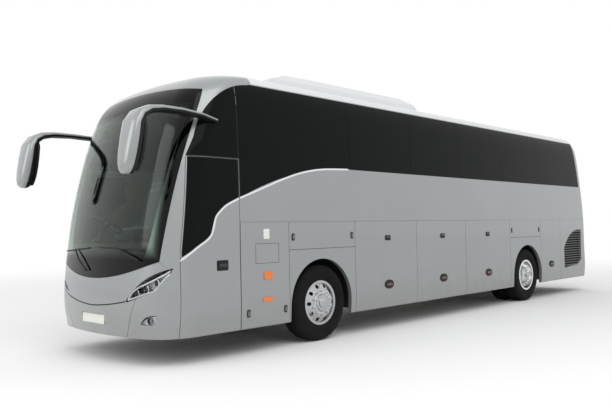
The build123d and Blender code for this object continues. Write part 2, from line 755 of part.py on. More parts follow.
def underframe():
    """Lower structure: luggage floor, bulkheads, rails and spring beams."""
    parts = [block(-FRAME_HALF, FRAME_HALF, BULKHEAD_FRONT, BULKHEAD_REAR + PLATE, HOLD_FLOOR_Z, HOLD_FLOOR_Z + PLATE)]
    for station in (BULKHEAD_FRONT, BULKHEAD_REAR):
        parts.append(block(-FRAME_HALF, FRAME_HALF, station, station + PLATE, HOLD_FLOOR_Z, AISLE_Z - SEAT_GAP))
        for side in (1, -1):
            parts.append(block(side * (AISLE_HALF + FLOOR), side * FRAME_HALF, station, station + PLATE,
                               AISLE_Z - 60, PLATFORM_Z - SEAT_GAP))
    for side in (1, -1):
        x0 = side * (RAIL_X - RAIL_W / 2)
        x1 = side * (RAIL_X + RAIL_W / 2)
        parts.append(block(x0, x1, -FRONT_OVERHANG, BULKHEAD_FRONT + 1, RAIL_Z0, RAIL_Z1))
        parts.append(block(x0, x1, BULKHEAD_REAR, REAR_STATION, RAIL_Z1 + 100, RAIL_Z1 + 220))
        for seam in LUGGAGE_SEAMS[1:-1]:
            parts.append(block(side * (FRAME_HALF - 60), side * FRAME_HALF, seam - 40, seam + 40,
                               HOLD_FLOOR_Z, PLATFORM_Z - SEAT_GAP))
    parts.append(block(-720, 720, -70, 70, 700, RAIL_Z1))
    for station in (WHEELBASE - 510, WHEELBASE + 510):
        parts.append(block(-580, 580, station - 60, station + 60, RAIL_Z1 + 100, RAIL_Z1 + 180))
    return pieces([item & CABIN for item in stacked(*parts)])


def cabin_floor():
    """Seat platforms with the sunken aisle, the front deck and the entrance steps."""
    half = AISLE_HALF
    wide = HALF_WIDTH + REACH
    top = PLATFORM_Z + FLOOR
    rear = REAR_STATION + REACH
    deck_end = DOOR_REAR + 60
    parts = [block(-half - FLOOR, half + FLOOR, deck_end, rear, AISLE_Z, AISLE_Z + FLOOR)]
    for side in (1, -1):
        parts.append(block(side * half, side * (half + FLOOR), deck_end, rear, AISLE_Z + FLOOR, top))
        parts.append(block(side * (half + FLOOR), side * wide, deck_end, rear, PLATFORM_Z, top))
    parts.append(block(-wide, 20, -FRONT_OVERHANG - REACH, deck_end + 20, DECK_Z - FLOOR, DECK_Z))
    parts.append(block(-wide, wide, deck_end, deck_end + 20, DECK_Z - FLOOR, PLATFORM_Z))
    treads = ((20, 320, DECK_Z), (320, 620, 890), (620, 900, 640), (900, 1150, 390))
    front = DOOR_FRONT_LOW + 35
    parts.append(block(20, wide, -FRONT_OVERHANG - REACH, DOOR_FRONT_LOW - 30, DECK_Z - FLOOR, DECK_Z))
    for x0, x1, z in treads:
        parts.append(block(x0, x1 + 12, front, deck_end + 20, z - FLOOR, z))
        if z > 400:
            parts.append(block(x1, x1 + 12, front, deck_end + 20, z - 250 - FLOOR, z))
    parts.append(block(20, 1162, deck_end, deck_end + 20, 350, DECK_Z))
    parts.append(block(20, 1162, front - 20, front, 350, DECK_Z))
    parts.append(block(20, 1100, DOOR_FRONT_LOW - 31, front, DECK_Z - FLOOR, DECK_Z))
    parts.append(block(-AISLE_HALF, AISLE_HALF, deck_end - 280, deck_end + 20, DECK_Z - FLOOR, DECK_Z + 170))
    rail = block(RAIL_X - RAIL_W / 2 - SEAT_GAP, RAIL_X + RAIL_W / 2 + SEAT_GAP, -FRONT_OVERHANG, deck_end + 30,
                 RAIL_Z0 - SEAT_GAP, RAIL_Z1 + SEAT_GAP)
    return pieces([item & CABIN for item in cut(stacked(*parts), rail)])


def wheel_liners():
    """Inner wheel arches on the left side."""
    rows = ((0.0, LINER_FRONT_R, 530.0), (WHEELBASE, LINER_REAR_R, 600.0))
    liners = []
    for station, radius, inner_x in rows:
        shell = []
        for size in (radius + LINER, radius):
            shell.append(prism("side", [
                (station - size, HOLD_FLOOR_Z), (station + size, HOLD_FLOOR_Z), (station + size, TYRE_R),
                ((station, TYRE_R + size), (station - size, TYRE_R)),
            ], inner_x, HALF_WIDTH - WALL - SEAT_GAP))
        liners += cut(shell[0], shell[1])
    return pieces([liner & CABIN for liner in liners])


def entrance_door():
    """Door leaf with brackets and pins for the two arms, and its glass."""
    leaf = panel(prism("side", door_outline(PANEL_GAP), *SIDE))
    glass_form = prism("side", door_glass_outline(0), *SIDE)
    hole = prism("side", door_glass_outline(PILLAR), *SIDE)
    leaf = cut(leaf, glazing_bed(glass_form), hole)
    eye_y = POST_Y + ARM_REACH
    parts = [leaf]
    for height in ARM_HEIGHTS:
        base = height + ARM_T / 2 + 6
        parts.append(block(POST_X - 20, HALF_WIDTH - WALL + 8, eye_y - 30, eye_y + 30, base, base + 14))
        parts.append(rod((POST_X, eye_y, height - ARM_T / 2), (POST_X, eye_y, base + 7), PIN_R))
    return joined(*parts), pane(glass_form)


def door_arm():
    """Turning post with two cranked arms that carry the entrance door."""
    bend = math.radians(ARM_BEND)
    elbow = (POST_X - ARM_ELBOW * math.sin(bend), POST_Y + ARM_ELBOW * math.cos(bend))
    eye = (POST_X, POST_Y + ARM_REACH)
    post = rod((POST_X, POST_Y, 390 + SEAT_GAP), (POST_X, POST_Y, ARM_HEIGHTS[-1] + 50), POST_R)
    parts = [post]
    holes = []
    for height in ARM_HEIGHTS:
        low = height - ARM_T / 2
        for start, end in (((POST_X, POST_Y), elbow), (elbow, eye)):
            length = math.dist(start, end)
            turn = math.degrees(math.atan2(end[1] - start[1], end[0] - start[0]))
            bar = Solid.make_box(length, ARM_W, ARM_T).moved(Location((0, -ARM_W / 2, 0)))
            parts.append(bar.moved(Location(placed(*start, low), (0, 0, turn))))
        parts.append(rod((*elbow, low), (*elbow, low + ARM_T), ARM_W / 2))
        parts.append(rod((*eye, low), (*eye, low + ARM_T), 26))
        holes.append(rod((*eye, low - 5), (*eye, low + ARM_T + 5), PIN_R + RUNNING_GAP))
    return cut(joined(*parts), *holes)


def mirror():
    """Left mirror: arm from the front corner of the roof and the head it carries."""
    head = block(MIRROR_X - MIRROR_HALF_X, MIRROR_X + MIRROR_HALF_X, MIRROR_FRONT, MIRROR_Y + MIRROR_HALF_Y,
                 MIRROR_LOW, MIRROR_TOP)
    head = fillet(head.edges().filter_by(Axis.Z), 45)
    path = [(1225, -1790, 2850), (1300, -2080, 2890), (1345, -2650, 2885), (1340, -2930, 2770)]
    parts = [head]
    for start, end in zip(path, path[1:]):
        parts.append(rod(start, end, 32))
        parts.append(Solid.make_sphere(32, angle1=-90, angle2=90, angle3=360).moved(Location(placed(*start))))
    return cut(joined(*parts), FACE)


def mirror_glass():
    """Left mirror glass on the rear of the head."""
    rear = MIRROR_Y + MIRROR_HALF_Y
    return block(MIRROR_X - 125, MIRROR_X + 125, rear + SEAT_GAP, rear + 6, MIRROR_LOW + 40, MIRROR_TOP - 40)


def seats():
    """Rows of double seats on the platforms and the driver's seat."""
    base = PLATFORM_Z + FLOOR
    outline = [
        (0, 0), (330, 0), (330, 300), (480, 330), (690, 1080), (600, 1110), (420, 480), (-20, 450), (-20, 320), (0, 300),
    ]
    rows = []
    for row in range(11):
        station = -950 + row * 800
        steps = [(station + y, base + z) for y, z in outline]
        pair = prism("side", steps, 270, 1150)
        rows += [pair] + mirrored(pair)
    driver = [(-1960 + y, DECK_Z + z) for y, z in outline]
    rows.append(prism("side", driver, -870, -350))
    return rows


def dash_outline(gap):
    """Section of the dashboard, larger on its rear side by the gap."""
    low = DECK_Z + SEAT_GAP
    return [(-2700, low), (-2700, 1400), (-2420 + gap, 1420 + gap), (-2330 + gap, 1360), (-2330 + gap, 1260),
            (-2420 + gap, low)]


def dashboard():
    """Dashboard across the front behind the windscreen."""
    board = prism("side", dash_outline(0.0), -HALF_WIDTH, HALF_WIDTH)
    return pieces(board & CABIN)


def steering_wheel():
    """Steering wheel on its column."""
    centre = Location(placed(-610, -2210, 1640), (-30, 0, 0))
    ring = Solid.make_torus(225, 16).moved(centre)
    spoke = Solid.make_box(440, 36, 16).moved(centre * Location((-220, -18, -8)))
    hub = Solid.make_cylinder(45, 30).moved(centre * Location((0, 0, -20)))
    column = Solid.make_cylinder(30, 480).moved(centre * Location((0, 0, -490)))
    return cut(joined(ring, spoke, hub, column), prism("side", dash_outline(SEAT_GAP), -HALF_WIDTH, HALF_WIDTH))


def engine():
    """Engine and gearbox as one plain block on the rear rails."""
    return [block(-390, 390, 7450, 8850, 520, 1250)]


def build():
    """Return every node with its solids."""
    wall, glass = side_wall()
    skirts, grille = fixed_skirts()
    mask, screen, access, bumper, corners, front_lamps = front_end()
    rear_wall, rear_glass, lid, rear_bumper, rear_lamps = rear_end()
    leaf, leaf_glass = entrance_door()
    blank = cut(panel(prism("side", door_outline(0.0), *SIDE)),
                glazing_bed(prism("side", door_glass_outline(0), *SIDE)),
                prism("side", door_glass_outline(PILLAR), *SIDE))
    nodes = {
        "underframe": underframe(),
        "cabin_floor": cabin_floor(),
        "wheel_liners": [wheel_liners(), mirrored(wheel_liners())],
        "side_wall_left": wall,
        "side_wall_right": mirrored(wall),
        "skirts_left": skirts,
        "skirts_right": [mirrored(skirts), mirrored(blank)],
        "side_grilles": [grille, mirrored(grille)],
        "window_glass": [glass, mirrored(glass), mirrored(leaf_glass), rear_glass],
        "roof": roof(),
        "roof_pod": roof_pod(),
        "front_mask": mask,
        "windscreen": screen,
        "front_panel": access,
        "front_bumper": [bumper, corners],
        "front_lamps": front_lamps,
        "rear_wall": rear_wall,
        "engine_lid": lid,
        "rear_bumper": rear_bumper,
        "rear_lamps": rear_lamps,
        "mirrors": [mirror(), mirrored(mirror())],
        "mirror_glasses": [mirror_glass(), mirrored(mirror_glass())],
        "engine": engine(),
        "seats": seats(),
        "dashboard": dashboard(),
        "steering_wheel": steering_wheel(),
        "air_springs": springs(),
        "front_axle": front_axle(),
        "rear_axle": rear_axle(),
        "knuckle_left": knuckle(),
        "knuckle_right": mirrored(knuckle()),
        "tie_rod": tie_rod(),
        "front_rim_left": front_rim(),
        "front_rim_right": mirrored(front_rim()),
        "front_tyre_left": tyre(WHEEL_X, 0.0),
        "front_tyre_right": tyre(-WHEEL_X, 0.0),
        "rear_rims_left": rear_rims(),
        "rear_rims_right": mirrored(rear_rims()),
        "rear_tyres_left": [tyre(WHEEL_X, WHEELBASE), tyre(TWIN_X, WHEELBASE)],
        "rear_tyres_right": [tyre(-WHEEL_X, WHEELBASE), tyre(-TWIN_X, WHEELBASE)],
        "entrance_door": leaf,
        "entrance_door_glass": leaf_glass,
        "door_arm": door_arm(),
    }
    for number, (start, end) in enumerate(zip(LUGGAGE_SEAMS, LUGGAGE_SEAMS[1:]), start=1):
        door = luggage_door(start, end)
        nodes[f"luggage_door_left_{number}"] = door
        nodes[f"luggage_door_right_{number}"] = mirrored(door)
    return nodes


def main():
    """Write one file per node, in the row frame."""
    os.makedirs("parts", exist_ok=True)
    for name, shape in build().items():
        solids = pieces(shape)
        item = solids[0] if len(solids) == 1 else Compound(solids)
        export_step(item, f"parts/{name}.step")
        print(name, len(solids))


if __name__ == "__main__":
    main()
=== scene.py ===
import logging
import math
from dataclasses import dataclass, field
from enum import Enum, IntEnum
from typing import Iterable, Mapping, Sequence

import bmesh
import bpy
from mathutils import Matrix, Vector
from mathutils.bvhtree import BVHTree


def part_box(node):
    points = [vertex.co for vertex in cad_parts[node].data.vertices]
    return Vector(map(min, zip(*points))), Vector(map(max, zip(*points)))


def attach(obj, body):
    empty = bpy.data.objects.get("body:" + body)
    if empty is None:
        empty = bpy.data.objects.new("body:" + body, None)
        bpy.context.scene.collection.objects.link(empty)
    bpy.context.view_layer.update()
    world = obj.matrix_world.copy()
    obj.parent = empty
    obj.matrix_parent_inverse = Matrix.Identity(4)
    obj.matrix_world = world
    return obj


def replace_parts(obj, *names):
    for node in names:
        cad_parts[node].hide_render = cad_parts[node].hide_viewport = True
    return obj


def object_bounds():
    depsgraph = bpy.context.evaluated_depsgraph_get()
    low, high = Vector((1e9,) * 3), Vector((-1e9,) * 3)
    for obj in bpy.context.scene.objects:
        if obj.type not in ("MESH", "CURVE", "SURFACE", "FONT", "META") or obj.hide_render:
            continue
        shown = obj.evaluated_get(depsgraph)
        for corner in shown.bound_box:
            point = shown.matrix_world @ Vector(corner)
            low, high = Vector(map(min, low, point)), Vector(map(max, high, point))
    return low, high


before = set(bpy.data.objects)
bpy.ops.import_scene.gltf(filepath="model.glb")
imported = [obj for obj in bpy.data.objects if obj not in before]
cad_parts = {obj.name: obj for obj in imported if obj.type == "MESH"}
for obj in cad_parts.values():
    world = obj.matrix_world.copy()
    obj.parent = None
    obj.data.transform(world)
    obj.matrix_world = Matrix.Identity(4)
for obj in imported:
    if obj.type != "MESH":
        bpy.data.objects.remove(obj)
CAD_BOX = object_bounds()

LOG = logging.getLogger("coach")
ROOT_BODY = "coach_body"
MILLIMETRE = 0.001
SIDES: dict[str, float] = {"left": 1.0, "right": -1.0}
BEVEL_STEPS = 3
BEVEL_LIMIT = 0.45
PILLOW_SIDES, PILLOW_ROWS = 20, 12
PILLOW_SPAN = 0.995
PILLOW_POWER = 0.35
STRIP_SINK = 0.002
STRIP_SHOULDER = (0.8, 0.7)
PAD_SINK = 0.004
PAD_SHOULDER = 0.6
PAD_TOP = (0.93, 0.6)

Colour = tuple[float, float, float]
Flat = tuple[float, float]
Triple = tuple[float, float, float]
Edges = tuple[float, float, float, float]
Ring = list[Vector]
Hit = tuple[Vector, Vector]
Socket = bpy.types.NodeSocket
Sockets = Mapping[str, Socket]
Tree = bpy.types.NodeTree


def middle(node: str) -> Vector:
    """Return the middle of a solid's box at rest."""
    low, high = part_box(node)
    return (low + high) / 2


FRONT_AXLE_Y = middle("front_tyre_left").y


def at(x: float, station: float, z: float) -> Vector:
    """Return a point of the row frame in metres.

    Args:
        x: Millimetres to the vehicle's left of the middle.
        station: Millimetres behind the front axle.
        z: Millimetres above the ground.

    Returns:
        The point in metres.
    """
    return Vector((x * MILLIMETRE, FRONT_AXLE_Y + station * MILLIMETRE, z * MILLIMETRE))


def shade(red: int, green: int, blue: int) -> Colour:
    """Return a display colour of 0 to 255 as linear light."""
    def linear(value: int) -> float:
        share = value / 255
        return share / 12.92 if share <= 0.04045 else ((share + 0.055) / 1.055) ** 2.4
    return linear(red), linear(green), linear(blue)


class Effect(Enum):
    """Surface effects that several finishes share."""

    ROAD_DUST = "road_dust"
    METAL_FLAKE = "metal_flake"
    MOULDED_GRAIN = "moulded_grain"
    GLOSS_SMUDGE = "gloss_smudge"
    WOVEN_CLOTH = "woven_cloth"
    DARK_BORDER = "dark_border"


@dataclass(frozen=True)
class Finish:
    """One finish: plain values for the shader and the strength of each effect."""

    name: str
    slot: str
    colour: Colour
    roughness: float
    metallic: float = 0.0
    coat: float = 0.0
    transmission: float = 0.0
    ior: float = 1.5
    sheen: float = 0.0
    flake: float = 0.0
    smudge: float = 0.08
    smudge_scale: float = 3.0
    dust: float = 0.0
    dust_top: float = 1.1
    dust_colour: Colour = shade(142, 132, 118)
    grain: float = 0.0
    grain_scale: float = 500.0
    weave: float = 0.0
    border: bool = False


SILVER_PAINT = Finish("silver_paint", "silver_paint", shade(147, 151, 152), 0.36, metallic=0.55, coat=0.8,
                      flake=0.10, dust=0.35, dust_top=0.95, grain=0.02, grain_scale=5.0)
ROOF_PAINT = Finish("roof_paint", "roof_paint", shade(214, 216, 218), 0.40, metallic=0.15, coat=0.6,
                    flake=0.04, dust=0.10, dust_top=6.0, grain=0.02, grain_scale=5.0)
TINTED_GLASS = Finish("tinted_glass", "window_glass", shade(20, 22, 22), 0.03, transmission=0.35, ior=1.16,
                      smudge=0.03, smudge_scale=1.5)
SCREEN_GLASS = Finish("screen_glass", "windscreen_glass", shade(214, 232, 220), 0.02, transmission=1.0,
                      ior=1.30, smudge=0.02, smudge_scale=1.5, border=True)
LAMP_CLEAR = Finish("lamp_clear", "lamp_clear", shade(236, 240, 242), 0.03, transmission=1.0, ior=1.18,
                    smudge=0.02)
LAMP_RED = Finish("lamp_red", "lamp_red", shade(150, 14, 16), 0.12, coat=0.8, grain=0.15, grain_scale=220.0)
SMOKED_AMBER = Finish("smoked_amber", "lamp_red", shade(112, 36, 22), 0.15, coat=0.8, grain=0.15,
                      grain_scale=220.0)
INLET_GREY = Finish("inlet_grey", "black_plastic", shade(96, 98, 98), 0.5, dust=0.2, grain=0.08,
                    grain_scale=400.0)
LAMP_AMBER = Finish("lamp_amber", "lamp_clear", shade(228, 112, 12), 0.15, coat=0.8, grain=0.15,
                    grain_scale=220.0)
FRAME_STEEL = Finish("frame_steel", "frame_steel", shade(58, 58, 60), 0.55, metallic=0.3, dust=0.6,
                     grain=0.08, grain_scale=90.0)
AXLE_IRON = Finish("axle_iron", "axle_iron", shade(44, 43, 42), 0.65, metallic=0.4, dust=0.6, grain=0.2,
                   grain_scale=140.0)
BLACK_PLASTIC = Finish("black_plastic", "black_plastic", shade(13, 13, 14), 0.5, ior=1.36, grain=0.12,
                       grain_scale=700.0, dust=0.15)
GLOSS_BLACK = Finish("gloss_black", "black_plastic", shade(12, 12, 13), 0.12, coat=0.6, smudge=0.05)
# Black of real shut lines and seals, also used as painted shade: the shadow line under the front panel and
# the backs of the side inlets.
SHUT_LINE_AND_SHADE = Finish("shut_line_and_painted_shade", "black_plastic", shade(14, 14, 15), 0.8)
FLOOR_VINYL = Finish("floor_vinyl", "floor_vinyl", shade(74, 74, 78), 0.6, grain=0.15, grain_scale=260.0)
SEAT_CLOTH = Finish("seat_cloth", "seat_fabric", shade(52, 58, 78), 0.85, sheen=0.4, weave=0.5)
WHEEL_ALLOY = Finish("wheel_alloy", "wheel_alloy", shade(184, 186, 188), 0.12, metallic=1.0, dust=0.2,
                     smudge=0.1, smudge_scale=14.0, grain=0.05, grain_scale=60.0)
# Painted light: a brighter copy of the wheel alloy for the rear rims, lightening the deep dish that the rim
# shades.
DISH_ALLOY_PAINTED_LIGHT = Finish("dish_alloy_painted_light", "wheel_alloy", shade(240, 241, 242), 0.15, metallic=1.0, dust=0.1,
                    smudge=0.1, smudge_scale=14.0)
CHROME = Finish("chrome", "wheel_alloy", shade(196, 198, 200), 0.08, metallic=1.0, smudge=0.05,
                smudge_scale=12.0)
# Painted highlight: a much brighter copy of the silver paint, standing in for light caught on the ledge under
# the side glass.
SWEEP_HIGHLIGHT_SILVER = Finish("sweep_painted_highlight", "silver_paint", shade(226, 228, 230), 0.22, metallic=0.75, smudge=0.06)
TYRE_RUBBER = Finish("tyre_rubber", "tyre_rubber", shade(8, 8, 9), 0.86, ior=1.3, dust=0.03, dust_top=1.3,
                     grain=0.25, grain_scale=320.0)
SPRING_RUBBER = Finish("spring_rubber", "spring_rubber", shade(24, 24, 25), 0.75, dust=0.4, grain=0.2)
MIRROR_SILVER = Finish("mirror_silver", "mirror_silver", shade(232, 234, 236), 0.03, metallic=1.0,
                       smudge=0.02)
ARM_STEEL = Finish("arm_steel", "arm_steel", shade(120, 122, 124), 0.35, metallic=0.9, grain=0.05)
LAMP_BOWL = Finish("lamp_bowl", "lamp_clear", shade(226, 228, 230), 0.3, metallic=0.35, grain=0.05,
                   grain_scale=180.0)
LIGHT_TUBE = Finish("light_tube", "lamp_clear", shade(240, 242, 244), 0.2, coat=0.8, grain=0.05,
                    grain_scale=200.0)
PLATE_WHITE = Finish("plate_white", "roof_paint", shade(222, 222, 214), 0.35, coat=0.4, grain=0.05)

# Solids that aren't named here are in silver paint.
NODE_FINISHES: dict[str, Finish] = {
    "underframe": FRAME_STEEL, "cabin_floor": FLOOR_VINYL, "wheel_liners": BLACK_PLASTIC,
    "side_grilles": INLET_GREY, "window_glass": TINTED_GLASS, "entrance_door_glass": TINTED_GLASS,
    "windscreen": SCREEN_GLASS, "roof": ROOF_PAINT, "roof_pod": ROOF_PAINT, "front_lamps": LAMP_CLEAR,
    "rear_lamps": LAMP_RED, "mirror_glasses": MIRROR_SILVER, "engine": AXLE_IRON, "seats": SEAT_CLOTH,
    "dashboard": BLACK_PLASTIC, "steering_wheel": BLACK_PLASTIC, "air_springs": SPRING_RUBBER,
    "front_axle": AXLE_IRON, "rear_axle": AXLE_IRON, "tie_rod": AXLE_IRON, "door_arm": ARM_STEEL,
}
for side_word in SIDES:
    NODE_FINISHES |= {
        f"knuckle_{side_word}": AXLE_IRON, f"front_rim_{side_word}": WHEEL_ALLOY,
        f"rear_rims_{side_word}": DISH_ALLOY_PAINTED_LIGHT, f"front_tyre_{side_word}": TYRE_RUBBER,
        f"rear_tyres_{side_word}": TYRE_RUBBER,
    }


class Graph:
    """Short calls that build a shader node tree."""

    def __init__(self, tree: Tree) -> None:
        """Work on a tree."""
        self.tree = tree

    def feed(self, target: Socket, value: object) -> None:
        """Give a socket a link, a colour or a number."""
        if isinstance(value, Socket):
            self.tree.links.new(value, target)
        else:
            target.default_value = (*value, 1.0) if isinstance(value, tuple) else value

    def node(self, kind: str, given: Mapping[int | str, object], **settings: object) -> bpy.types.Node:
        """Add a node.

        Args:
            kind: The node's type without its prefix.
            given: What each input is fed.
            settings: The node's own properties.

        Returns:
            The new node.
        """
        node = self.tree.nodes.new("ShaderNode" + kind)
        for name, value in settings.items():
            setattr(node, name, value)
        for key, value in given.items():
            self.feed(node.inputs[key], value)
        return node

    def place(self) -> Socket:
        """Return the place in the piece's own coordinates."""
        return self.node("TexCoord", {}).outputs["Object"]

    def axis(self, name: str) -> Socket:
        """Return one coordinate of the place."""
        return self.node("SeparateXYZ", {0: self.place()}).outputs[name]

    def noise(self, scale: object, detail: float) -> Socket:
        """Return a noise of 0 to 1."""
        return self.node("TexNoise",
                         {"Vector": self.place(), "Scale": scale, "Detail": detail}).outputs["Fac"]

    def math(self, kind: str, first: object, second: object) -> Socket:
        """Return the result of a sum or product."""
        return self.node("Math", {0: first, 1: second}, operation=kind).outputs[0]

    def scaled(self, colour: object, gain: object) -> Socket:
        """Return a colour made brighter or darker."""
        return self.node("VectorMath", {0: colour, "Scale": gain}, operation="SCALE").outputs[0]

    def blend(self, share: object, first: object, second: object) -> Socket:
        """Return a mix of two colours."""
        return self.node("Mix", {0: share, 6: first, 7: second}, data_type="RGBA").outputs[2]

    def ramp(self, value: object, ends: Sequence[object], result: Flat, **settings: object) -> Socket:
        """Return a value mapped from one range to another and held at its ends."""
        given = {"Value": value, "From Min": ends[0], "From Max": ends[1],
                 "To Min": result[0], "To Max": result[1]}
        return self.node("MapRange", given, **settings).outputs["Result"]


@dataclass
class EffectShop:
    """Builds each shared effect once, as a shader node group, by the method of the effect's name."""

    made: dict[Effect, Tree] = field(default_factory=dict)
    dust_floor: float = 0.2
    dust_noise: Flat = (4.0, 6.0)
    dust_patch: Flat = (0.35, 0.7)
    dust_shares: Flat = (0.25, 1.0)
    dusty_roughness: float = 0.9
    flake_scale: float = 700.0
    tone_noise: Flat = (0.7, 2.0)
    grain_detail: float = 3.0
    smudge_detail: float = 5.0
    thread_scale: float = 120.0
    thread_tones: Flat = (0.75, 1.2)
    border_softness: float = 0.05

    def group(self, effect: Effect) -> Tree:
        """Return the node group of an effect, built at its first use."""
        if effect not in self.made:
            self.made[effect] = getattr(self, effect.value)()
        return self.made[effect]

    def start(self, effect: Effect, inputs: Sequence[str],
              outputs: Sequence[str]) -> tuple[Graph, Sockets, Sockets]:
        """Return a new group, what it is given and its results; names that end in Colour are colours."""
        tree = bpy.data.node_groups.new(effect.value, "ShaderNodeTree")
        for names, way in ((inputs, "INPUT"), (outputs, "OUTPUT")):
            for name in names:
                kind = "NodeSocketColor" if name.endswith("Colour") else "NodeSocketFloat"
                tree.interface.new_socket(name=name, in_out=way, socket_type=kind)
        given = tree.nodes.new("NodeGroupInput").outputs
        return Graph(tree), given, tree.nodes.new("NodeGroupOutput").inputs

    def road_dust(self) -> Tree:
        """Dust that thickens towards the ground and comes in patches."""
        graph, given, result = self.start(
            Effect.ROAD_DUST, ("Colour", "Dust Colour", "Roughness", "Amount", "Top"),
            ("Colour", "Roughness"))
        low = graph.ramp(graph.axis("Z"), (self.dust_floor, given["Top"]), (1.0, 0.0))
        patch = graph.ramp(graph.noise(*self.dust_noise), self.dust_patch, self.dust_shares)
        share = graph.math("MULTIPLY", graph.math("MULTIPLY", low, patch), given["Amount"])
        graph.feed(result["Colour"], graph.blend(share, given["Colour"], given["Dust Colour"]))
        rough = graph.node("Mix", {0: share, 2: given["Roughness"], 3: self.dusty_roughness},
                           data_type="FLOAT")
        graph.feed(result["Roughness"], rough.outputs[0])
        return graph.tree

    def metal_flake(self) -> Tree:
        """Small flakes that differ in brightness, over a slow drift of tone."""
        graph, given, result = self.start(Effect.METAL_FLAKE, ("Colour", "Amount"), ("Colour",))
        cells = graph.node("TexVoronoi", {"Scale": self.flake_scale, "Vector": graph.place()})
        grey = graph.node("RGBToBW", {0: cells.outputs["Color"]}).outputs[0]
        both = graph.math("ADD", grey, graph.noise(*self.tone_noise))
        swing = graph.math("MULTIPLY", graph.math("SUBTRACT", both, 1.0), given["Amount"])
        graph.feed(result["Colour"], graph.scaled(given["Colour"], graph.math("ADD", swing, 1.0)))
        return graph.tree

    def moulded_grain(self) -> Tree:
        """Fine height of a moulded, cast or sprayed surface."""
        graph, given, result = self.start(Effect.MOULDED_GRAIN, ("Scale",), ("Height",))
        graph.feed(result["Height"], graph.noise(given["Scale"], self.grain_detail))
        return graph.tree

    def gloss_smudge(self) -> Tree:
        """Roughness that drifts where a surface was wiped or touched."""
        graph, given, result = self.start(Effect.GLOSS_SMUDGE, ("Roughness", "Spread", "Scale"),
                                          ("Roughness",))
        drift = graph.math("SUBTRACT", graph.noise(given["Scale"], self.smudge_detail), 0.5)
        total = graph.math("ADD", given["Roughness"], graph.math("MULTIPLY", drift, given["Spread"]))
        graph.feed(result["Roughness"], graph.math("MAXIMUM", total, 0.0))
        return graph.tree

    def woven_cloth(self) -> Tree:
        """Crossing threads with their height, and the colour they tint."""
        graph, given, result = self.start(Effect.WOVEN_CLOTH, ("Colour",), ("Colour", "Height"))
        across, upright = (
            graph.node("TexWave", {"Scale": self.thread_scale, "Vector": graph.place()}, bands_direction=way)
            for way in ("X", "Z"))
        height = graph.math("MULTIPLY", across.outputs["Fac"], upright.outputs["Fac"])
        tone = graph.ramp(height, (0.0, 1.0), self.thread_tones)
        graph.feed(result["Colour"], graph.scaled(given["Colour"], tone))
        graph.feed(result["Height"], height)
        return graph.tree

    def dark_border(self) -> Tree:
        """Printed black edge of the windscreen glass, by place on the pane."""
        graph, given, result = self.start(
            Effect.DARK_BORDER, ("Colour", "Border Colour", "Half Width", "Low", "High"), ("Colour",))
        across = graph.math("SUBTRACT", graph.math("ABSOLUTE", graph.axis("X"), 0.0), given["Half Width"])
        height = graph.axis("Z")
        below = graph.math("SUBTRACT", given["Low"], height)
        above = graph.math("SUBTRACT", height, given["High"])
        edge = graph.math("MAXIMUM", across, graph.math("MAXIMUM", below, above))
        share = graph.ramp(edge, (-self.border_softness, self.border_softness), (0.0, 1.0))
        graph.feed(result["Colour"], graph.blend(share, given["Colour"], given["Border Colour"]))
        return graph.tree


@dataclass
class FinishShop:
    """Makes one material for each finish."""

    effects: EffectShop = field(default_factory=EffectShop)
    made: dict[str, bpy.types.Material] = field(default_factory=dict)
    coat_roughness: float = 0.06
    screen_half: float = 1.05
    screen_low: float = 1.27
    screen_high: float = 3.02

    def material(self, finish: Finish) -> bpy.types.Material:
        """Return the material of a finish, built at its first use."""
        if finish.name not in self.made:
            self.made[finish.name] = self.mixed(finish)
        return self.made[finish.name]

    def placed(self, graph: Graph, effect: Effect, **values: object) -> Sockets:
        """Put an effect into a material, feed it values and return its outputs."""
        node = graph.tree.nodes.new("ShaderNodeGroup")
        node.node_tree = self.effects.group(effect)
        for key, value in values.items():
            graph.feed(node.inputs[key.replace("_", " ").title()], value)
        return node.outputs

    def mixed(self, finish: Finish) -> bpy.types.Material:
        """Build the material of a finish.

        Args:
            finish: The finish to build.

        Returns:
            A material with one Principled shader and the finish's effects.
        """
        material = bpy.data.materials.new(finish.name)
        material.use_nodes = True
        graph = Graph(material.node_tree)
        shader = material.node_tree.nodes["Principled BSDF"].inputs
        plain = {
            "Metallic": finish.metallic, "Coat Weight": finish.coat, "Coat Roughness": self.coat_roughness,
            "Transmission Weight": finish.transmission, "IOR": finish.ior, "Sheen Weight": finish.sheen,
        }
        for name, value in plain.items():
            graph.feed(shader[name], value)
        colour: object = finish.colour
        height = None
        roughness = self.placed(graph, Effect.GLOSS_SMUDGE, roughness=finish.roughness, spread=finish.smudge,
                                scale=finish.smudge_scale)["Roughness"]
        if finish.flake:
            colour = self.placed(graph, Effect.METAL_FLAKE, colour=colour, amount=finish.flake)["Colour"]
        if finish.weave:
            cloth = self.placed(graph, Effect.WOVEN_CLOTH, colour=colour)
            colour, height = cloth["Colour"], cloth["Height"]
        if finish.border:
            colour = self.placed(graph, Effect.DARK_BORDER, colour=colour, border_colour=GLOSS_BLACK.colour,
                                 half_width=self.screen_half, low=self.screen_low,
                                 high=self.screen_high)["Colour"]
        if finish.dust:
            dust = self.placed(graph, Effect.ROAD_DUST, colour=colour, dust_colour=finish.dust_colour,
                               roughness=roughness, amount=finish.dust, top=finish.dust_top)
            colour, roughness = dust["Colour"], dust["Roughness"]
        graph.feed(shader["Base Color"], colour)
        graph.feed(shader["Roughness"], roughness)
        if finish.grain and height is None:
            height = self.placed(graph, Effect.MOULDED_GRAIN, scale=finish.grain_scale)["Height"]
        if height is not None:
            bump = graph.node("Bump", {"Strength": finish.grain or finish.weave, "Distance": MILLIMETRE,
                                       "Height": height})
            graph.feed(shader["Normal"], bump.outputs["Normal"])
        return material


FINISHES = FinishShop()


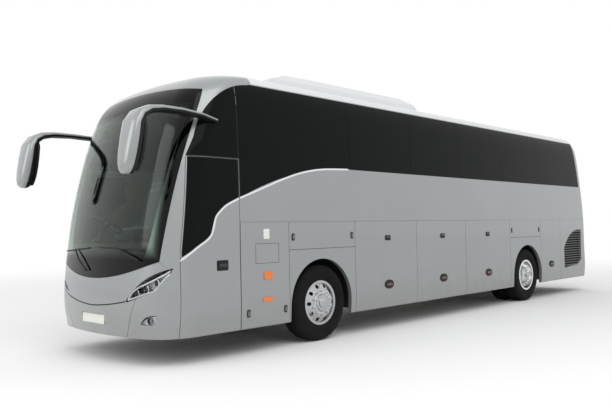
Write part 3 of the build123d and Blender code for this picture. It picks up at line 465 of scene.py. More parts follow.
def turns(count: int, shift: float = 0.0) -> list[float]:
    """Return equal angles round a circle, turned by a share of their spacing."""
    return [2 * math.pi * (k + shift) / count for k in range(count)]


def bent(value: float, power: float) -> float:
    """Return a value raised to a power, with its sign kept."""
    return math.copysign(abs(value) ** power, value)


def circle(centre: Vector, out: float, radius: float, count: int, shift: float = 0.0) -> Ring:
    """Return points on a circle about an axle along X, turned by a share of their spacing."""
    return [centre + Vector((out, radius * math.cos(a), radius * math.sin(a))) for a in turns(count, shift)]


@dataclass
class Mould:
    """Gathers the points and faces of one mesh."""

    points: list[Vector] = field(default_factory=list)
    faces: list[tuple[int, ...]] = field(default_factory=list)
    paints: list[int] = field(default_factory=list)

    def add(self, points: Iterable[Vector], faces: Iterable[Sequence[int]], paint: int = 0) -> None:
        """Add points and the faces between them, with the number of their finish."""
        base = len(self.points)
        self.points.extend(points)
        for face in faces:
            self.faces.append(tuple(base + index for index in face))
            self.paints.append(paint)

    def loft(self, rings: Sequence[Ring], caps: bool = True, closed: bool = False, paint: int = 0) -> None:
        """Join rings of equal count; closed also joins the last ring to the first."""
        count = len(rings[0])
        faces: list[tuple[int, ...]] = []
        last = len(rings) if closed else len(rings) - 1
        for row in range(last):
            here = row * count
            there = ((row + 1) % len(rings)) * count
            for k in range(count):
                step = (k + 1) % count
                faces.append((here + k, here + step, there + step, there + k))
        if caps and not closed:
            faces.append(tuple(range(count)))
            faces.append(tuple(range((len(rings) - 1) * count, len(rings) * count)))
        self.add([point for ring in rings for point in ring], faces, paint)

    def lathe(self, profile: Sequence[Flat], centre: Vector, side: float, segments: int,
              closed: bool = False, paint: int = 0) -> None:
        """Turn a profile of radius and distance outwards about an axle along X."""
        rings = [circle(centre, side * out, radius, segments) for radius, out in profile]
        self.loft(rings, closed=closed, paint=paint)

    def tube(self, path: Sequence[Vector], radius: float, sides: int = 10, paint: int = 0) -> None:
        """Lay a round tube along a path."""
        rings = []
        for index, point in enumerate(path):
            ahead = path[min(index + 1, len(path) - 1)] - path[max(index - 1, 0)]
            turn = ahead.to_track_quat("Z", "Y")
            rings.append([point + turn @ Vector((radius * math.cos(a), radius * math.sin(a), 0.0))
                          for a in turns(sides)])
        self.loft(rings, paint=paint)

    def pillow(self, centre: Vector, half: Vector, tilt: float) -> None:
        """Add a crowned closed form, leaned back by the tilt in degrees."""
        lean = Matrix.Rotation(math.radians(tilt), 3, "X")
        rings = []
        for row in range(PILLOW_ROWS + 1):
            rise = math.pi * (row / PILLOW_ROWS - 0.5) * PILLOW_SPAN
            width, height = bent(math.cos(rise), PILLOW_POWER), bent(math.sin(rise), PILLOW_POWER)
            rings.append([centre + lean @ Vector((width * bent(math.cos(turn), PILLOW_POWER) * half.x,
                                                  width * bent(math.sin(turn), PILLOW_POWER) * half.y,
                                                  height * half.z))
                          for turn in turns(PILLOW_SIDES)])
        self.loft(rings)

    def block(self, low: Vector, high: Vector, round_off: float, paint: int = 0) -> None:
        """Add a box with rounded edges."""
        form = bmesh.new()
        bmesh.ops.create_cube(form, size=1.0)
        size = high - low
        for vert in form.verts:
            vert.co = low + Vector([(vert.co[i] + 0.5) * size[i] for i in range(3)])
        limit = BEVEL_LIMIT * min(abs(value) for value in size)
        bmesh.ops.bevel(form, geom=form.edges[:], offset=min(round_off, limit), segments=BEVEL_STEPS,
                        profile=0.5, affect="EDGES")
        form.verts.index_update()
        points = [vert.co.copy() for vert in form.verts]
        self.add(points, [[vert.index for vert in face.verts] for face in form.faces], paint)
        form.free()

    def piece(self, name: str, body: str, *finishes: Finish, crease: float = 32.0) -> bpy.types.Object:
        """Make the object, paint it and let it ride on a body.

        Args:
            name: The piece's name.
            body: The body that carries it.
            finishes: One finish for each paint number.
            crease: Edges that turn by more degrees than this stay sharp.

        Returns:
            The new object.
        """
        mesh = bpy.data.meshes.new(name)
        mesh.from_pydata([tuple(point) for point in self.points], [], self.faces)
        for finish in finishes:
            mesh.materials.append(FINISHES.material(finish))
        for polygon, paint in zip(mesh.polygons, self.paints):
            polygon.material_index = paint
        form = bmesh.new()
        form.from_mesh(mesh)
        bmesh.ops.recalc_face_normals(form, faces=form.faces)
        form.to_mesh(mesh)
        form.free()
        mesh.shade_smooth()
        mesh.set_sharp_from_angle(angle=math.radians(crease))
        thing = bpy.data.objects.new(name, mesh)
        bpy.context.scene.collection.objects.link(thing)
        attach(thing, body)
        LOG.info("piece %s on %s", name, body)
        return thing


class Skin:
    """Finds points on the outer skin of some solids."""

    far = 4.0
    clear = 1.0

    def __init__(self, *nodes: str) -> None:
        """Gather the faces of the solids named."""
        points: list[Vector] = []
        faces: list[tuple[int, ...]] = []
        for name in nodes:
            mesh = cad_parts[name].data
            base = len(points)
            points.extend(vert.co.copy() for vert in mesh.vertices)
            faces.extend(tuple(base + v for v in polygon.vertices) for polygon in mesh.polygons)
        self.tree = BVHTree.FromPolygons(points, faces)

    def hit(self, start: Vector, way: Vector) -> Hit:
        """Return the first point on the skin and its normal towards the start."""
        point, normal, _, _ = self.tree.ray_cast(start, way)
        if point is None:
            point, normal, _, _ = self.tree.find_nearest(start + way * self.far)
        return point, (normal if normal.dot(way) < 0 else -normal)

    def side(self, side: float, spot: Flat) -> Hit:
        """Return the skin at a station and height, seen from a side."""
        start = at(0, *spot)
        start.x = side * self.far
        return self.hit(start, Vector((-side, 0, 0)))

    def along(self, side: float, line: Sequence[Flat]) -> list[Hit]:
        """Return the skin along a smooth line of stations and heights, seen from a side."""
        return [self.side(side, spot) for spot in smooth_line(line)]

    def front(self, spot: Flat) -> Hit:
        """Return the skin at a distance from the middle and a height, seen from the front."""
        start = Vector((spot[0] * MILLIMETRE, CAD_BOX[0][1] - self.clear, spot[1] * MILLIMETRE))
        return self.hit(start, Vector((0, 1, 0)))

    def rear(self, spot: Flat) -> Hit:
        """Return the skin at a distance from the middle and a height, seen from the rear."""
        start = Vector((spot[0] * MILLIMETRE, CAD_BOX[1][1] + self.clear, spot[1] * MILLIMETRE))
        return self.hit(start, Vector((0, -1, 0)))


def smooth_line(points: Sequence[Flat], parts: int = 8) -> list[Flat]:
    """Return a smooth line through points.

    Args:
        points: The points that the line passes through.
        parts: How many short runs join two points.

    Returns:
        The points along the line.
    """
    line = []
    for index in range(len(points) - 1):
        p0, p1 = points[max(index - 1, 0)], points[index]
        p2, p3 = points[index + 1], points[min(index + 2, len(points) - 1)]
        for step in range(parts):
            t = step / parts
            line.append(tuple(0.5 * (2 * b + (c - a) * t + (2 * a - 5 * b + 4 * c - d) * t ** 2
                                     + (3 * b - a - 3 * c + d) * t ** 3)
                              for a, b, c, d in zip(p0, p1, p2, p3)))
    return line + [tuple(points[-1])]


def strip(mould: Mould, hits: Sequence[Hit], width: float, proud: float, paint: int = 0) -> None:
    """Lay a low half-round strip along points of a skin."""
    rings = []
    for index, (point, normal) in enumerate(hits):
        ahead = hits[min(index + 1, len(hits) - 1)][0] - hits[max(index - 1, 0)][0]
        across = normal.cross(ahead).normalized() * width / 2
        lift, sink = normal * proud, normal * -STRIP_SINK
        wide, tall = across * STRIP_SHOULDER[0], lift * STRIP_SHOULDER[1]
        rings.append([point - across + sink, point - wide + tall, point + lift, point + wide + tall,
                      point + across + sink])
    mould.loft(rings, paint=paint)


@dataclass(frozen=True)
class Plate:
    """A low rounded plate in metres; a corner of 1 is round, and small values are square."""

    width: float
    height: float
    proud: float
    corner: float
    sides: int = 24


def pad(mould: Mould, hit: Hit, plate: Plate, paint: int = 0, seat: float = 0.0) -> None:
    """Set a plate upright on a skin.

    Args:
        mould: The mesh that takes the plate.
        hit: A point of the skin and its normal.
        plate: The plate's size and outline.
        paint: The number of the plate's finish.
        seat: How far above the skin the plate sits.
    """
    point, normal = hit
    point = point + normal * seat
    across = Vector((0, 0, 1)).cross(normal).normalized()
    rise = normal.cross(across)
    rings = []
    rows = [(-PAD_SINK, 1.0), (plate.proud * PAD_SHOULDER, 1.0), *((plate.proud, top) for top in PAD_TOP)]
    for lift, scale in rows:
        ring = []
        for angle in turns(plate.sides, 0.5):
            wide, tall = (bent(value, plate.corner) for value in Vector((math.cos(angle), math.sin(angle))))
            ring.append(point + normal * lift + across * wide * scale * plate.width / 2
                        + rise * tall * scale * plate.height / 2)
        rings.append(ring)
    mould.loft(rings, paint=paint)


class BodyShell:
    """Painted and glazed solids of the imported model."""

    weld = 0.0002
    crease = 24.0

    def dress(self) -> None:
        """Give every solid its finish and smooth its curved faces."""
        for name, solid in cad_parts.items():
            finish = NODE_FINISHES.get(name, SILVER_PAINT)
            mesh = solid.data
            mesh.materials.clear()
            mesh.materials.append(FINISHES.material(finish))
            if "custom_normal" in mesh.attributes:
                mesh.attributes.remove(mesh.attributes["custom_normal"])
            mesh.shade_smooth()
            join = solid.modifiers.new("weld", "WELD")
            join.merge_threshold = self.weld
            split = solid.modifiers.new("crease", "EDGE_SPLIT")
            split.split_angle = math.radians(self.crease)
        LOG.info("dressed %d solids", len(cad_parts))


@dataclass
class TyreSet:
    """Road tyres with ribs, shoulder notches and ringed walls."""

    radius: float = 0.522
    half: float = 0.149
    bore: float = 0.2955
    segments: int = 130
    notch_every: int = 5
    notch: float = 0.007

    def half_profile(self) -> list[tuple[float, float, bool]]:
        """Return radius, distance from the middle and whether notches cut there."""
        r = self.radius
        return [
            (r, 0.000, False), (r, 0.021, False), (r - 0.013, 0.023, False), (r - 0.013, 0.031, False),
            (r, 0.033, False), (r - 0.001, 0.068, False), (r - 0.013, 0.070, False),
            (r - 0.013, 0.078, False), (r - 0.002, 0.080, True), (r - 0.004, 0.105, True),
            (r - 0.010, 0.117, True), (r - 0.024, 0.128, True),
            (0.478, 0.140, False), (0.455, 0.1475, False), (0.430, 0.149, False), (0.412, 0.1480, False),
            (0.410, 0.1490, False), (0.403, 0.1490, False), (0.401, 0.1465, False), (0.366, 0.1425, False),
            (0.364, 0.1445, False), (0.359, 0.1445, False), (0.357, 0.1405, False), (0.325, 0.1330, False),
            (0.312, 0.1290, False), (0.304, 0.1262, False), (self.bore, 0.1240, False),
        ]

    def turn(self, mould: Mould, centre: Vector) -> None:
        """Turn one tyre about its centre."""
        half = self.half_profile()
        whole = [(r, -t, cut) for r, t, cut in reversed(half)] + half[1:]
        rings = []
        for radius, out, cut in whole:
            ring = []
            for k, angle in enumerate(turns(self.segments)):
                size = radius - (self.notch if cut and k % self.notch_every == 0 else 0.0)
                ring.append(centre + Vector((out, size * math.cos(angle), size * math.sin(angle))))
            rings.append(ring)
        mould.loft(rings, closed=True)

    def build(self) -> None:
        """Build the tyres of all four wheels."""
        for end, node in (("front", "front_tyre"), ("rear", "rear_tyres")):
            for side in SIDES:
                low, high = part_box(f"{node}_{side}")
                y, z = (low.y + high.y) / 2, (low.z + high.z) / 2
                mould = Mould()
                for x in sorted({round(low.x + self.half, 4), round(high.x - self.half, 4)}):
                    self.turn(mould, Vector((x, y, z)))
                tyre = mould.piece(f"road_{node}_{side}", f"wheel_{end}_{side}", TYRE_RUBBER, crease=28.0)
                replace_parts(tyre, f"{node}_{side}")


@dataclass
class WheelFittings:
    """Nuts, nut ring, hub cover and valve of each wheel; profiles are radius and distance outwards."""

    nuts: int = 10
    nut_circle: float = 0.1675
    nut_parts: Sequence[tuple[float, float, float, int]] = (
        (0.02295, -0.002, 0.006, 16), (0.017, 0.006, 0.030, 6), (0.01054, 0.030, 0.0375, 10))
    nut_end: Flat = (0.6, 0.002)
    ends: Sequence[tuple[str, str, str, float, float]] = (
        ("front", "front_rim", "front_tyre", 0.161, 0.190), ("rear", "rear_rims", "rear_tyres", 0.0, 0.165))
    ring: Sequence[Flat] = ((0.148, -0.004), (0.148, 0.007), (0.142, 0.010), (0.127, 0.009), (0.124, -0.004))
    cover: Sequence[Flat] = ((0.072, -0.012), (0.072, 0.002), (0.064, 0.008), (0.030, 0.011), (0.004, 0.012))
    bolts: int = 8
    bolt_circle: float = 0.052
    bolt_seat: float = 0.006
    bolt: Sequence[Flat] = ((0.006, 0.0), (0.006, 0.004), (0.003, 0.006))
    valve_place: Flat = (-0.02, 0.262)
    valve_path: Sequence[Flat] = ((0.0, 0.0), (0.03, -0.004), (0.055, -0.02))
    valve_radius: float = 0.005
    ring_sides: int = 60
    cover_sides: int = 40
    bolt_sides: int = 6

    def nut(self, mould: Mould, foot: Vector, side: float) -> None:
        """Add one flanged hexagon nut with a domed end."""
        for radius, start, end, count in self.nut_parts:
            tip = (radius * self.nut_end[0], end + self.nut_end[1])
            mould.lathe([(radius, start), (radius, end), tip], foot, side, segments=count)

    def build(self) -> None:
        """Fit out all four wheels."""
        for end, rim, tyre, face, hub in self.ends:
            for side_name, side in SIDES.items():
                centre = middle(f"{rim}_{side_name}")
                centre.x = middle(f"{tyre}_{side_name}").x
                mould = Mould()
                for foot in circle(centre, side * face, self.nut_circle, self.nuts, 0.5):
                    self.nut(mould, foot, side)
                ring = [(radius, face + out) for radius, out in self.ring]
                mould.lathe(ring, centre, side, self.ring_sides, closed=True)
                cover = [(radius, hub + out) for radius, out in self.cover]
                mould.lathe(cover, centre, side, self.cover_sides, paint=1)
                for spot in circle(centre, side * (hub + self.bolt_seat), self.bolt_circle, self.bolts):
                    mould.lathe(self.bolt, spot, side, self.bolt_sides)
                valve = centre + Vector((side * (face + self.valve_place[0]), 0.0, self.valve_place[1]))
                mould.tube([valve + Vector((side * out, 0, rise)) for out, rise in self.valve_path],
                           self.valve_radius)
                wheel = f"{end}_{side_name}"
                mould.piece(f"wheel_fittings_{wheel}", f"wheel_{wheel}", CHROME, WHEEL_ALLOY)


@dataclass
class MirrorPair:
    """Swept mirror arms that turn down into tall heads; rows are x, station, height and half sizes."""

    rows: Sequence[tuple[float, float, float, float, float]] = (
        (1232, -1792, 2850, 62, 26), (1282, -2050, 2884, 74, 30), (1308, -2350, 2900, 86, 32),
        (1312, -2620, 2894, 100, 38), (1308, -2780, 2866, 120, 48), (1304, -2885, 2806, 140, 62),
        (1301, -2940, 2705, 150, 80), (1300, -2958, 2560, 150, 92), (1299, -2985, 2380, 138, 98),
        (1298, -3008, 2250, 118, 88), (1297, -3024, 2185, 94, 66), (1296, -3030, 2155, 60, 34),
    )
    points: int = 28
    squareness: float = 0.62
    pane_rows: Sequence[Edges] = (
        (1300, -2853, 2735, 104), (1300, -2858, 2690, 130), (1299, -2872, 2560, 134),
        (1299, -2886, 2430, 130), (1298, -2904, 2310, 118), (1297, -2918, 2240, 100), (1296, -2930, 2200, 70))
    rim: float = 14.0
    rim_span: Flat = (-30.0, 2.0)
    pane_span: Flat = (-3.0, 5.0)

    def ring(self, side: float, row: int) -> Ring:
        """Return one section of the arm and head."""
        x, station, z, wide, thin = self.rows[row]
        ahead = self.rows[min(row + 1, len(self.rows) - 1)]
        behind = self.rows[max(row - 1, 0)]
        run = Vector((0.0, ahead[1] - behind[1], ahead[2] - behind[2])).normalized()
        lift = Vector((0.0, -run.z, run.y))
        result = []
        for angle in turns(self.points):
            spot = at(x + bent(math.cos(angle), self.squareness) * wide, station, z)
            spot += lift * bent(math.sin(angle), self.squareness) * thin * MILLIMETRE
            result.append(Vector((side * spot.x, spot.y, spot.z)))
        return result

    def pane(self, mould: Mould, side: float, margin: float, back: float, front: float, paint: int) -> None:
        """Add a tapered slab on the rear of a head, larger than the pane by the margin."""
        left, right = [], []
        last = len(self.pane_rows) - 1
        for index, (x, station, z, half) in enumerate(self.pane_rows):
            z += margin if index == 0 else -margin if index == last else 0.0
            left.append((x - half - margin, station, z))
            right.append((x + half + margin, station, z))
        edge = left + right[::-1]
        mould.loft([[at(side * x, station + depth, z) for x, station, z in edge] for depth in (back, front)],
                   paint=paint)

    def build(self) -> None:
        """Build both mirrors, silver outside and black underneath and behind."""
        mould = Mould()
        panes = Mould()
        for side in SIDES.values():
            start = len(mould.faces)
            mould.loft([self.ring(side, row) for row in range(len(self.rows))])
            for index in range(start, len(mould.faces)):
                row, k = divmod(index - start, self.points)
                mould.paints[index] = 1 if row < len(self.rows) - 1 and k < self.points // 2 else 0
            self.pane(mould, side, self.rim, *self.rim_span, 1)
            self.pane(panes, side, 0.0, *self.pane_span, 0)
        mirrors = mould.piece("mirror_arms_and_heads", ROOT_BODY, SILVER_PAINT, BLACK_PLASTIC, crease=50.0)
        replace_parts(mirrors, "mirrors")
        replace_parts(panes.piece("mirror_panes", ROOT_BODY, MIRROR_SILVER), "mirror_glasses")


@dataclass
class SweepHighlight:
    """Bright strip along the swept lower edge of the side glass; its brightness is a painted highlight."""

    door_line: Sequence[Flat] = ((-2331, 1197), (-2120, 1337), (-1909, 1476), (-1830, 1690), (-1752, 1776),
                                 (-1658, 1844), (-1472, 1925))
    wall_line: Sequence[Flat] = ((-1452, 1932), (-1059, 2070), (-703, 2195), (-325, 2300), (76, 2360),
                                 (600, 2384))
    width: float = 0.030
    proud: float = 0.006

    def build(self) -> None:
        """Lay the strip on the door and the wall of both sides."""
        door = Skin("entrance_door", "entrance_door_glass")
        wall = Skin("side_wall_left", "side_wall_right", "window_glass", "skirts_left", "skirts_right",
                    "front_mask")
        leaf = Mould()
        strip(leaf, door.along(1.0, self.door_line), self.width, self.proud)
        leaf.piece("sweep_highlight_door", "entrance_door", SWEEP_HIGHLIGHT_SILVER)
        fixed = Mould()
        for side, line in ((1.0, self.wall_line), (-1.0, self.wall_line), (-1.0, self.door_line)):
            strip(fixed, wall.along(side, line), self.width, self.proud)
        fixed.piece("sweep_highlight_walls", ROOT_BODY, SWEEP_HIGHLIGHT_SILVER)


@dataclass
class GlassSeals:
    """Black seals between the panes, and the dark back of the side inlets, a black block that is painted
    shade.
    """

    seams: Sequence[float] = (-1460, 650, 2165, 3660, 5160, 6660, 8160)
    seam_low: float = 2400.0
    seam_high: float = 3380.0
    seam_steps: int = 6
    front_seam_low: float = 2424.0
    width: float = 0.012
    proud: float = 0.001
    door_top: Sequence[Flat] = ((-2180, 2419), (-2080, 2419), (-1960, 2419), (-1830, 2419), (-1460, 2419))
    door_top_size: Flat = (0.014, 0.002)
    door_edges: Sequence[Sequence[Flat]] = (
        ((-2170, 2404), (-2080, 2404), (-1960, 2404), (-1830, 2404), (-1468, 2404)),
        ((-1470, 1945), (-1470, 2180), (-1470, 2404)))
    door_edge_width: float = 0.014
    door_post: Sequence[Flat] = ((-1448, 1960), (-1448, 2190), (-1448, 2422))
    inlet_depth: float = 0.075
    inlet_half: float = 0.004
    inlet_length: float = 1.05
    inlet_margin: float = 0.04
    inlet_round: float = 0.002

    def build(self) -> None:
        """Lay the seals on both sides and close the inlets."""
        skin = Skin("window_glass", "side_wall_left", "side_wall_right", "front_mask")
        mould = Mould()
        for side in SIDES.values():
            for seam in self.seams:
                low = self.front_seam_low if seam == self.seams[0] else self.seam_low
                tall = self.seam_high - low
                heights = [low + tall * k / self.seam_steps for k in range(self.seam_steps + 1)]
                strip(mould, [skin.side(side, (seam, z)) for z in heights], self.width, self.proud)
            strip(mould, skin.along(side, self.door_top), *self.door_top_size)
        leaf = Mould()
        door = Skin("entrance_door", "entrance_door_glass")
        blank = Skin("skirts_right", "window_glass")
        for line in self.door_edges:
            strip(leaf, door.along(1.0, line), self.door_edge_width, self.proud)
            strip(mould, blank.along(-1.0, line), self.door_edge_width, self.proud)
        strip(mould, skin.along(1.0, self.door_post), self.width, self.proud)
        leaf.piece("entrance_door_seals", "entrance_door", SHUT_LINE_AND_SHADE)
        # Painted shade: a black block behind each side inlet stands in for the shadowed space behind its
        # louvres.
        low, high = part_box("side_grilles")
        for side in SIDES.values():
            edge = side * (high.x - self.inlet_depth)
            half, margin = self.inlet_half, self.inlet_margin
            mould.block(Vector((edge - half, high.y - self.inlet_length, low.z - margin)),
                        Vector((edge + half, high.y + margin, high.z + margin)), self.inlet_round)
        mould.piece("glass_seals_and_inlet_backs", ROOT_BODY, SHUT_LINE_AND_SHADE)


class SidePaint(IntEnum):
    """Paint numbers of the side fittings."""

    BLACK = 0
    AMBER = 1
    LINE = 2
    KEY = 3
    SIGN = 4
    LENS = 5


@dataclass
class SideFittings:
    """Handles, latches, lamps and small covers on the two sides; edges are stations and heights."""

    filler: Edges = (-1211, -817, 1117, 1364)
    filler_line: Flat = (0.005, 0.0012)
    lamps: Sequence[tuple[Edges, float]] = (((-1081, -941, 908, 1008), 0.012),
                                            ((-1105, -951, 633, 690), 0.010))
    blank_sign: Edges = (-1077, -976, 1422, 1548)
    sign_proud: float = 0.0015
    cover_corner: float = 0.16
    cover_sides: int = 40
    latches: Sequence[Flat] = ((-1342, 510), (-710, 510), (-553, 1435), (638, 1435), (5480, 1435),
                               (6660, 1435))
    latch: Plate = Plate(0.055, 0.095, 0.006, 0.4)
    latch_key: Plate = Plate(0.030, 0.060, 0.005, 0.5)
    flap_lines: Sequence[Triple] = ((-624, 704, 1268), (5406, 6734, 1290))
    flap_line: Flat = (0.007, 0.0012)
    round_lamps: Sequence[Flat] = ((1495, 670), (3013, 670), (4533, 670))
    rear_round_lamp: Flat = (7216, 694)
    lamp: Plate = Plate(0.220, 0.135, 0.012, 0.9)
    lens: Plate = Plate(0.220 * 0.62, 0.135 * 0.26, 0.008, 0.5)
    lens_seat: float = 0.010
    pulls: Sequence[Flat] = ((1490, 1380), (3013, 1380), (4537, 1380))
    pull: Plate = Plate(0.140, 0.080, 0.004, 0.3)
    grip: Plate = Plate(0.115, 0.035, 0.012, 0.35)
    grip_rise: float = 0.012
    door_handle: Edges = (-1824, -1652, 1061, 1185)
    door_handle_proud: float = 0.006
    door_grip_spot: Flat = (-1738, 1125)
    door_grip: Plate = Plate(0.120, 0.045, 0.014, 0.4)

    def cover(self, mould: Mould, skin: Skin, side: float, edges: Edges, proud: float, paint: int) -> None:
        """Set a plate on the skin between two stations and two heights."""
        front, rear, low, high = edges
        hit = skin.side(side, ((front + rear) / 2, (low + high) / 2))
        width, height = (rear - front) * MILLIMETRE, (high - low) * MILLIMETRE
        pad(mould, hit, Plate(width, height, proud, self.cover_corner, self.cover_sides), paint)

    def outline(self, mould: Mould, skin: Skin, side: float, edges: Edges) -> None:
        """Draw the shut line of a flush cover."""
        front, rear, low, high = edges
        corners = [(front, low), (rear, low), (rear, high), (front, high), (front, low)]
        for start, end in zip(corners, corners[1:]):
            ends = [skin.side(side, start), skin.side(side, end)]
            strip(mould, ends, *self.filler_line, paint=SidePaint.LINE)

    def round_lamp(self, mould: Mould, hit: Hit) -> None:
        """Add a round side lamp: black surround and a narrow smoked lens."""
        pad(mould, hit, self.lamp)
        pad(mould, hit, self.lens, SidePaint.LENS, self.lens_seat)

    def build_fixed(self) -> None:
        """Fit the pieces that stay on the body."""
        skin = Skin("skirts_left", "skirts_right", "side_wall_left", "side_wall_right")
        mould = Mould()
        for side in SIDES.values():
            for spot in self.latches:
                hit = skin.side(side, spot)
                pad(mould, hit, self.latch)
                pad(mould, hit, self.latch_key, SidePaint.KEY, self.latch.proud)
            for start, end, z in self.flap_lines:
                ends = [skin.side(side, (start, z)), skin.side(side, (end, z))]
                strip(mould, ends, *self.flap_line, paint=SidePaint.LINE)
            for edges, proud in self.lamps:
                self.cover(mould, skin, side, edges, proud, SidePaint.AMBER)
            self.outline(mould, skin, side, self.filler)
            self.round_lamp(mould, skin.side(side, self.rear_round_lamp))
        self.cover(mould, skin, 1.0, self.blank_sign, self.sign_proud, SidePaint.SIGN)
        mould.piece("side_fittings", ROOT_BODY, BLACK_PLASTIC, LAMP_AMBER, SHUT_LINE_AND_SHADE, ARM_STEEL, PLATE_WHITE,
                    SMOKED_AMBER)

    def build_doors(self) -> None:
        """Fit the handle and the lamp of each luggage door and the entrance door's handle."""
        for side_name, side in SIDES.items():
            for number, (spot, lamp) in enumerate(zip(self.pulls, self.round_lamps), start=1):
                body = f"luggage_door_{side_name}_{number}"
                skin = Skin(body)
                mould = Mould()
                point, normal = hit = skin.side(side, spot)
                pad(mould, hit, self.pull)
                seat = point + normal * self.pull.proud + Vector((0, 0, self.grip_rise))
                pad(mould, (seat, normal), self.grip, SidePaint.KEY)
                self.round_lamp(mould, skin.side(side, lamp))
                mould.piece(f"{body}_fittings", body, BLACK_PLASTIC, LAMP_AMBER, SHUT_LINE_AND_SHADE, GLOSS_BLACK,
                            PLATE_WHITE, SMOKED_AMBER)
        leaf = Skin("entrance_door")
        mould = Mould()
        self.cover(mould, leaf, 1.0, self.door_handle, self.door_handle_proud, SidePaint.BLACK)
        pad(mould, leaf.side(1.0, self.door_grip_spot), self.door_grip, 1, self.door_handle_proud)
        mould.piece("entrance_door_handle", "entrance_door", BLACK_PLASTIC, GLOSS_BLACK)


@dataclass
class FrontFittings:
    """Lamp inners, wipers, blank plate and painted shadow line of the front; spots are distance across and
    height.
    """

    head: Sequence[Flat] = (
        (690, 752), (760, 850), (860, 915), (1020, 985), (1150, 1066), (1196, 1108), (1180, 1050),
        (1075, 872), (900, 808), (715, 746))
    fog: Sequence[Flat] = ((905, 493), (945, 540), (1020, 580), (1092, 589), (1080, 535), (1040, 493))
    housing_depth: float = 0.048
    housing_rim: float = 0.012
    light_lines: Sequence[Sequence[Flat]] = (
        ((706, 762), (800, 786), (904, 816), (1000, 848), (1072, 876), (1130, 968), (1184, 1062)),
        ((716, 768), (768, 840), (864, 903), (1020, 971), (1142, 1049), (1184, 1090)))
    light_depth: float = 0.014
    light_radius: float = 0.009
    units: Sequence[Triple] = ((842, 838, 42), (968, 892, 48), (1082, 960, 38), (1000, 533, 34))
    unit_depth: float = 0.044
    unit_sides: int = 32
    unit_rows: Sequence[Flat] = ((1.0, 0.0), (1.05, -0.022), (0.92, -0.026), (0.84, -0.014), (0.80, -0.012),
                                 (0.62, -0.022), (0.34, -0.029), (0.06, -0.031))
    hood_shadow_line: Sequence[Flat] = ((-672, 741), (-450, 706), (-225, 682), (0, 671), (225, 682), (450, 706),
                                 (672, 741))
    hood_size: Flat = (0.016, 0.0015)
    wipers: Sequence[tuple[Flat, Flat, float]] = (
        ((880, 1215), (520, 1345), -18.0), ((-130, 1085), (-520, 1330), 24.0))
    blade_half: float = 400.0
    blade_shares: Sequence[float] = (-1.0, -0.6, -0.2, 0.2, 0.6, 1.0)
    blade_lift: float = 0.011
    blade_radius: float = 0.008
    arm_lifts: Edges = (0.012, 0.034, 0.045, 0.022)
    arm_radius: float = 0.010
    plate: Edges = (-260, 260, 452, 562)
    plate_skin: Flat = (-0.004, 0.001)
    plate_round: float = 0.006

    def housing(self, mould: Mould, skin: Skin, side: float, outline: Sequence[Flat]) -> None:
        """Add the bright bowl of a lamp behind its lens."""
        face = [skin.front((side * x, z))[0] for x, z in outline]
        back = [point + Vector((0, self.housing_depth, 0)) for point in face]
        mould.loft([[point + Vector((0, self.housing_rim, 0)) for point in face], back], caps=False)
        mould.add(back, [list(range(len(back)))])

    def unit(self, mould: Mould, skin: Skin, side: float, spot: Triple) -> None:
        """Add one round lamp unit: chrome bezel, bowl and lens."""
        x, z, size = spot
        centre = skin.front((side * x, z))[0] + Vector((0, self.unit_depth, 0))
        rings = []
        for scale, out in self.unit_rows:
            radius = size * MILLIMETRE * scale
            rings.append([centre + Vector((radius * math.cos(a), out, radius * math.sin(a)))
                          for a in turns(self.unit_sides)])
        mould.loft(rings[:4], caps=False, paint=1)
        mould.loft(rings[3:], paint=2)

    def wiper(self, mould: Mould, skin: Skin, foot: Flat, rest: Flat, climb: float) -> None:
        """Add one wiper: spindle, arm, and a blade lying on the glass about its resting spot."""
        def lifted(spot: Flat, height: float) -> Vector:
            point, normal = skin.front(spot)
            return point + normal * height
        blade = [(rest[0] + share * self.blade_half, rest[1] + share * climb) for share in self.blade_shares]
        mould.tube([lifted(spot, self.blade_lift) for spot in blade], self.blade_radius, 8)
        elbow = ((foot[0] + rest[0]) / 2, (foot[1] + rest[1]) / 2)
        arm = [lifted(spot, lift) for spot, lift in zip((foot, foot, elbow, rest), self.arm_lifts)]
        mould.tube(arm, self.arm_radius, 8)

    def build_lamps(self) -> None:
        """Build what stands behind the lamp lenses."""
        lens = Skin("front_lamps")
        inners = Mould()
        for side in SIDES.values():
            self.housing(inners, lens, side, self.head)
            self.housing(inners, lens, side, self.fog)
            for spot in self.units:
                self.unit(inners, lens, side, spot)
            for line in self.light_lines:
                spots = [(side * x, z) for x, z in smooth_line(line, 4)]
                tube = [lens.front(spot)[0] + Vector((0, self.light_depth, 0)) for spot in spots]
                inners.tube(tube, self.light_radius, 8, paint=3)
        inners.piece("front_lamp_inners", ROOT_BODY, LAMP_BOWL, CHROME, GLOSS_BLACK, LIGHT_TUBE)

    def build(self) -> None:
        """Build all the fittings of the front."""
        self.build_lamps()
        # Painted shadow: a black strip along the front panel's lower edge stands in for the shade where the
        # panel overhangs the bumper.
        lines = Mould()
        face = Skin("front_panel", "front_bumper")
        strip(lines, [face.front(spot) for spot in smooth_line(self.hood_shadow_line, 10)], *self.hood_size)
        lines.piece("front_panel_shadow_line", ROOT_BODY, SHUT_LINE_AND_SHADE)
        glass = Skin("windscreen")
        blades = Mould()
        for foot, rest, climb in self.wipers:
            self.wiper(blades, glass, foot, rest, climb)
        blades.piece("wipers", ROOT_BODY, BLACK_PLASTIC)
        plate = Mould()
        left, right, low, high = self.plate
        y = Skin("front_bumper").front((0.0, (low + high) / 2))[0].y
        plate.block(Vector((left * MILLIMETRE, y + self.plate_skin[0], low * MILLIMETRE)),
                    Vector((right * MILLIMETRE, y + self.plate_skin[1], high * MILLIMETRE)),
                    self.plate_round)
        plate.piece("front_plate_blank", ROOT_BODY, PLATE_WHITE)


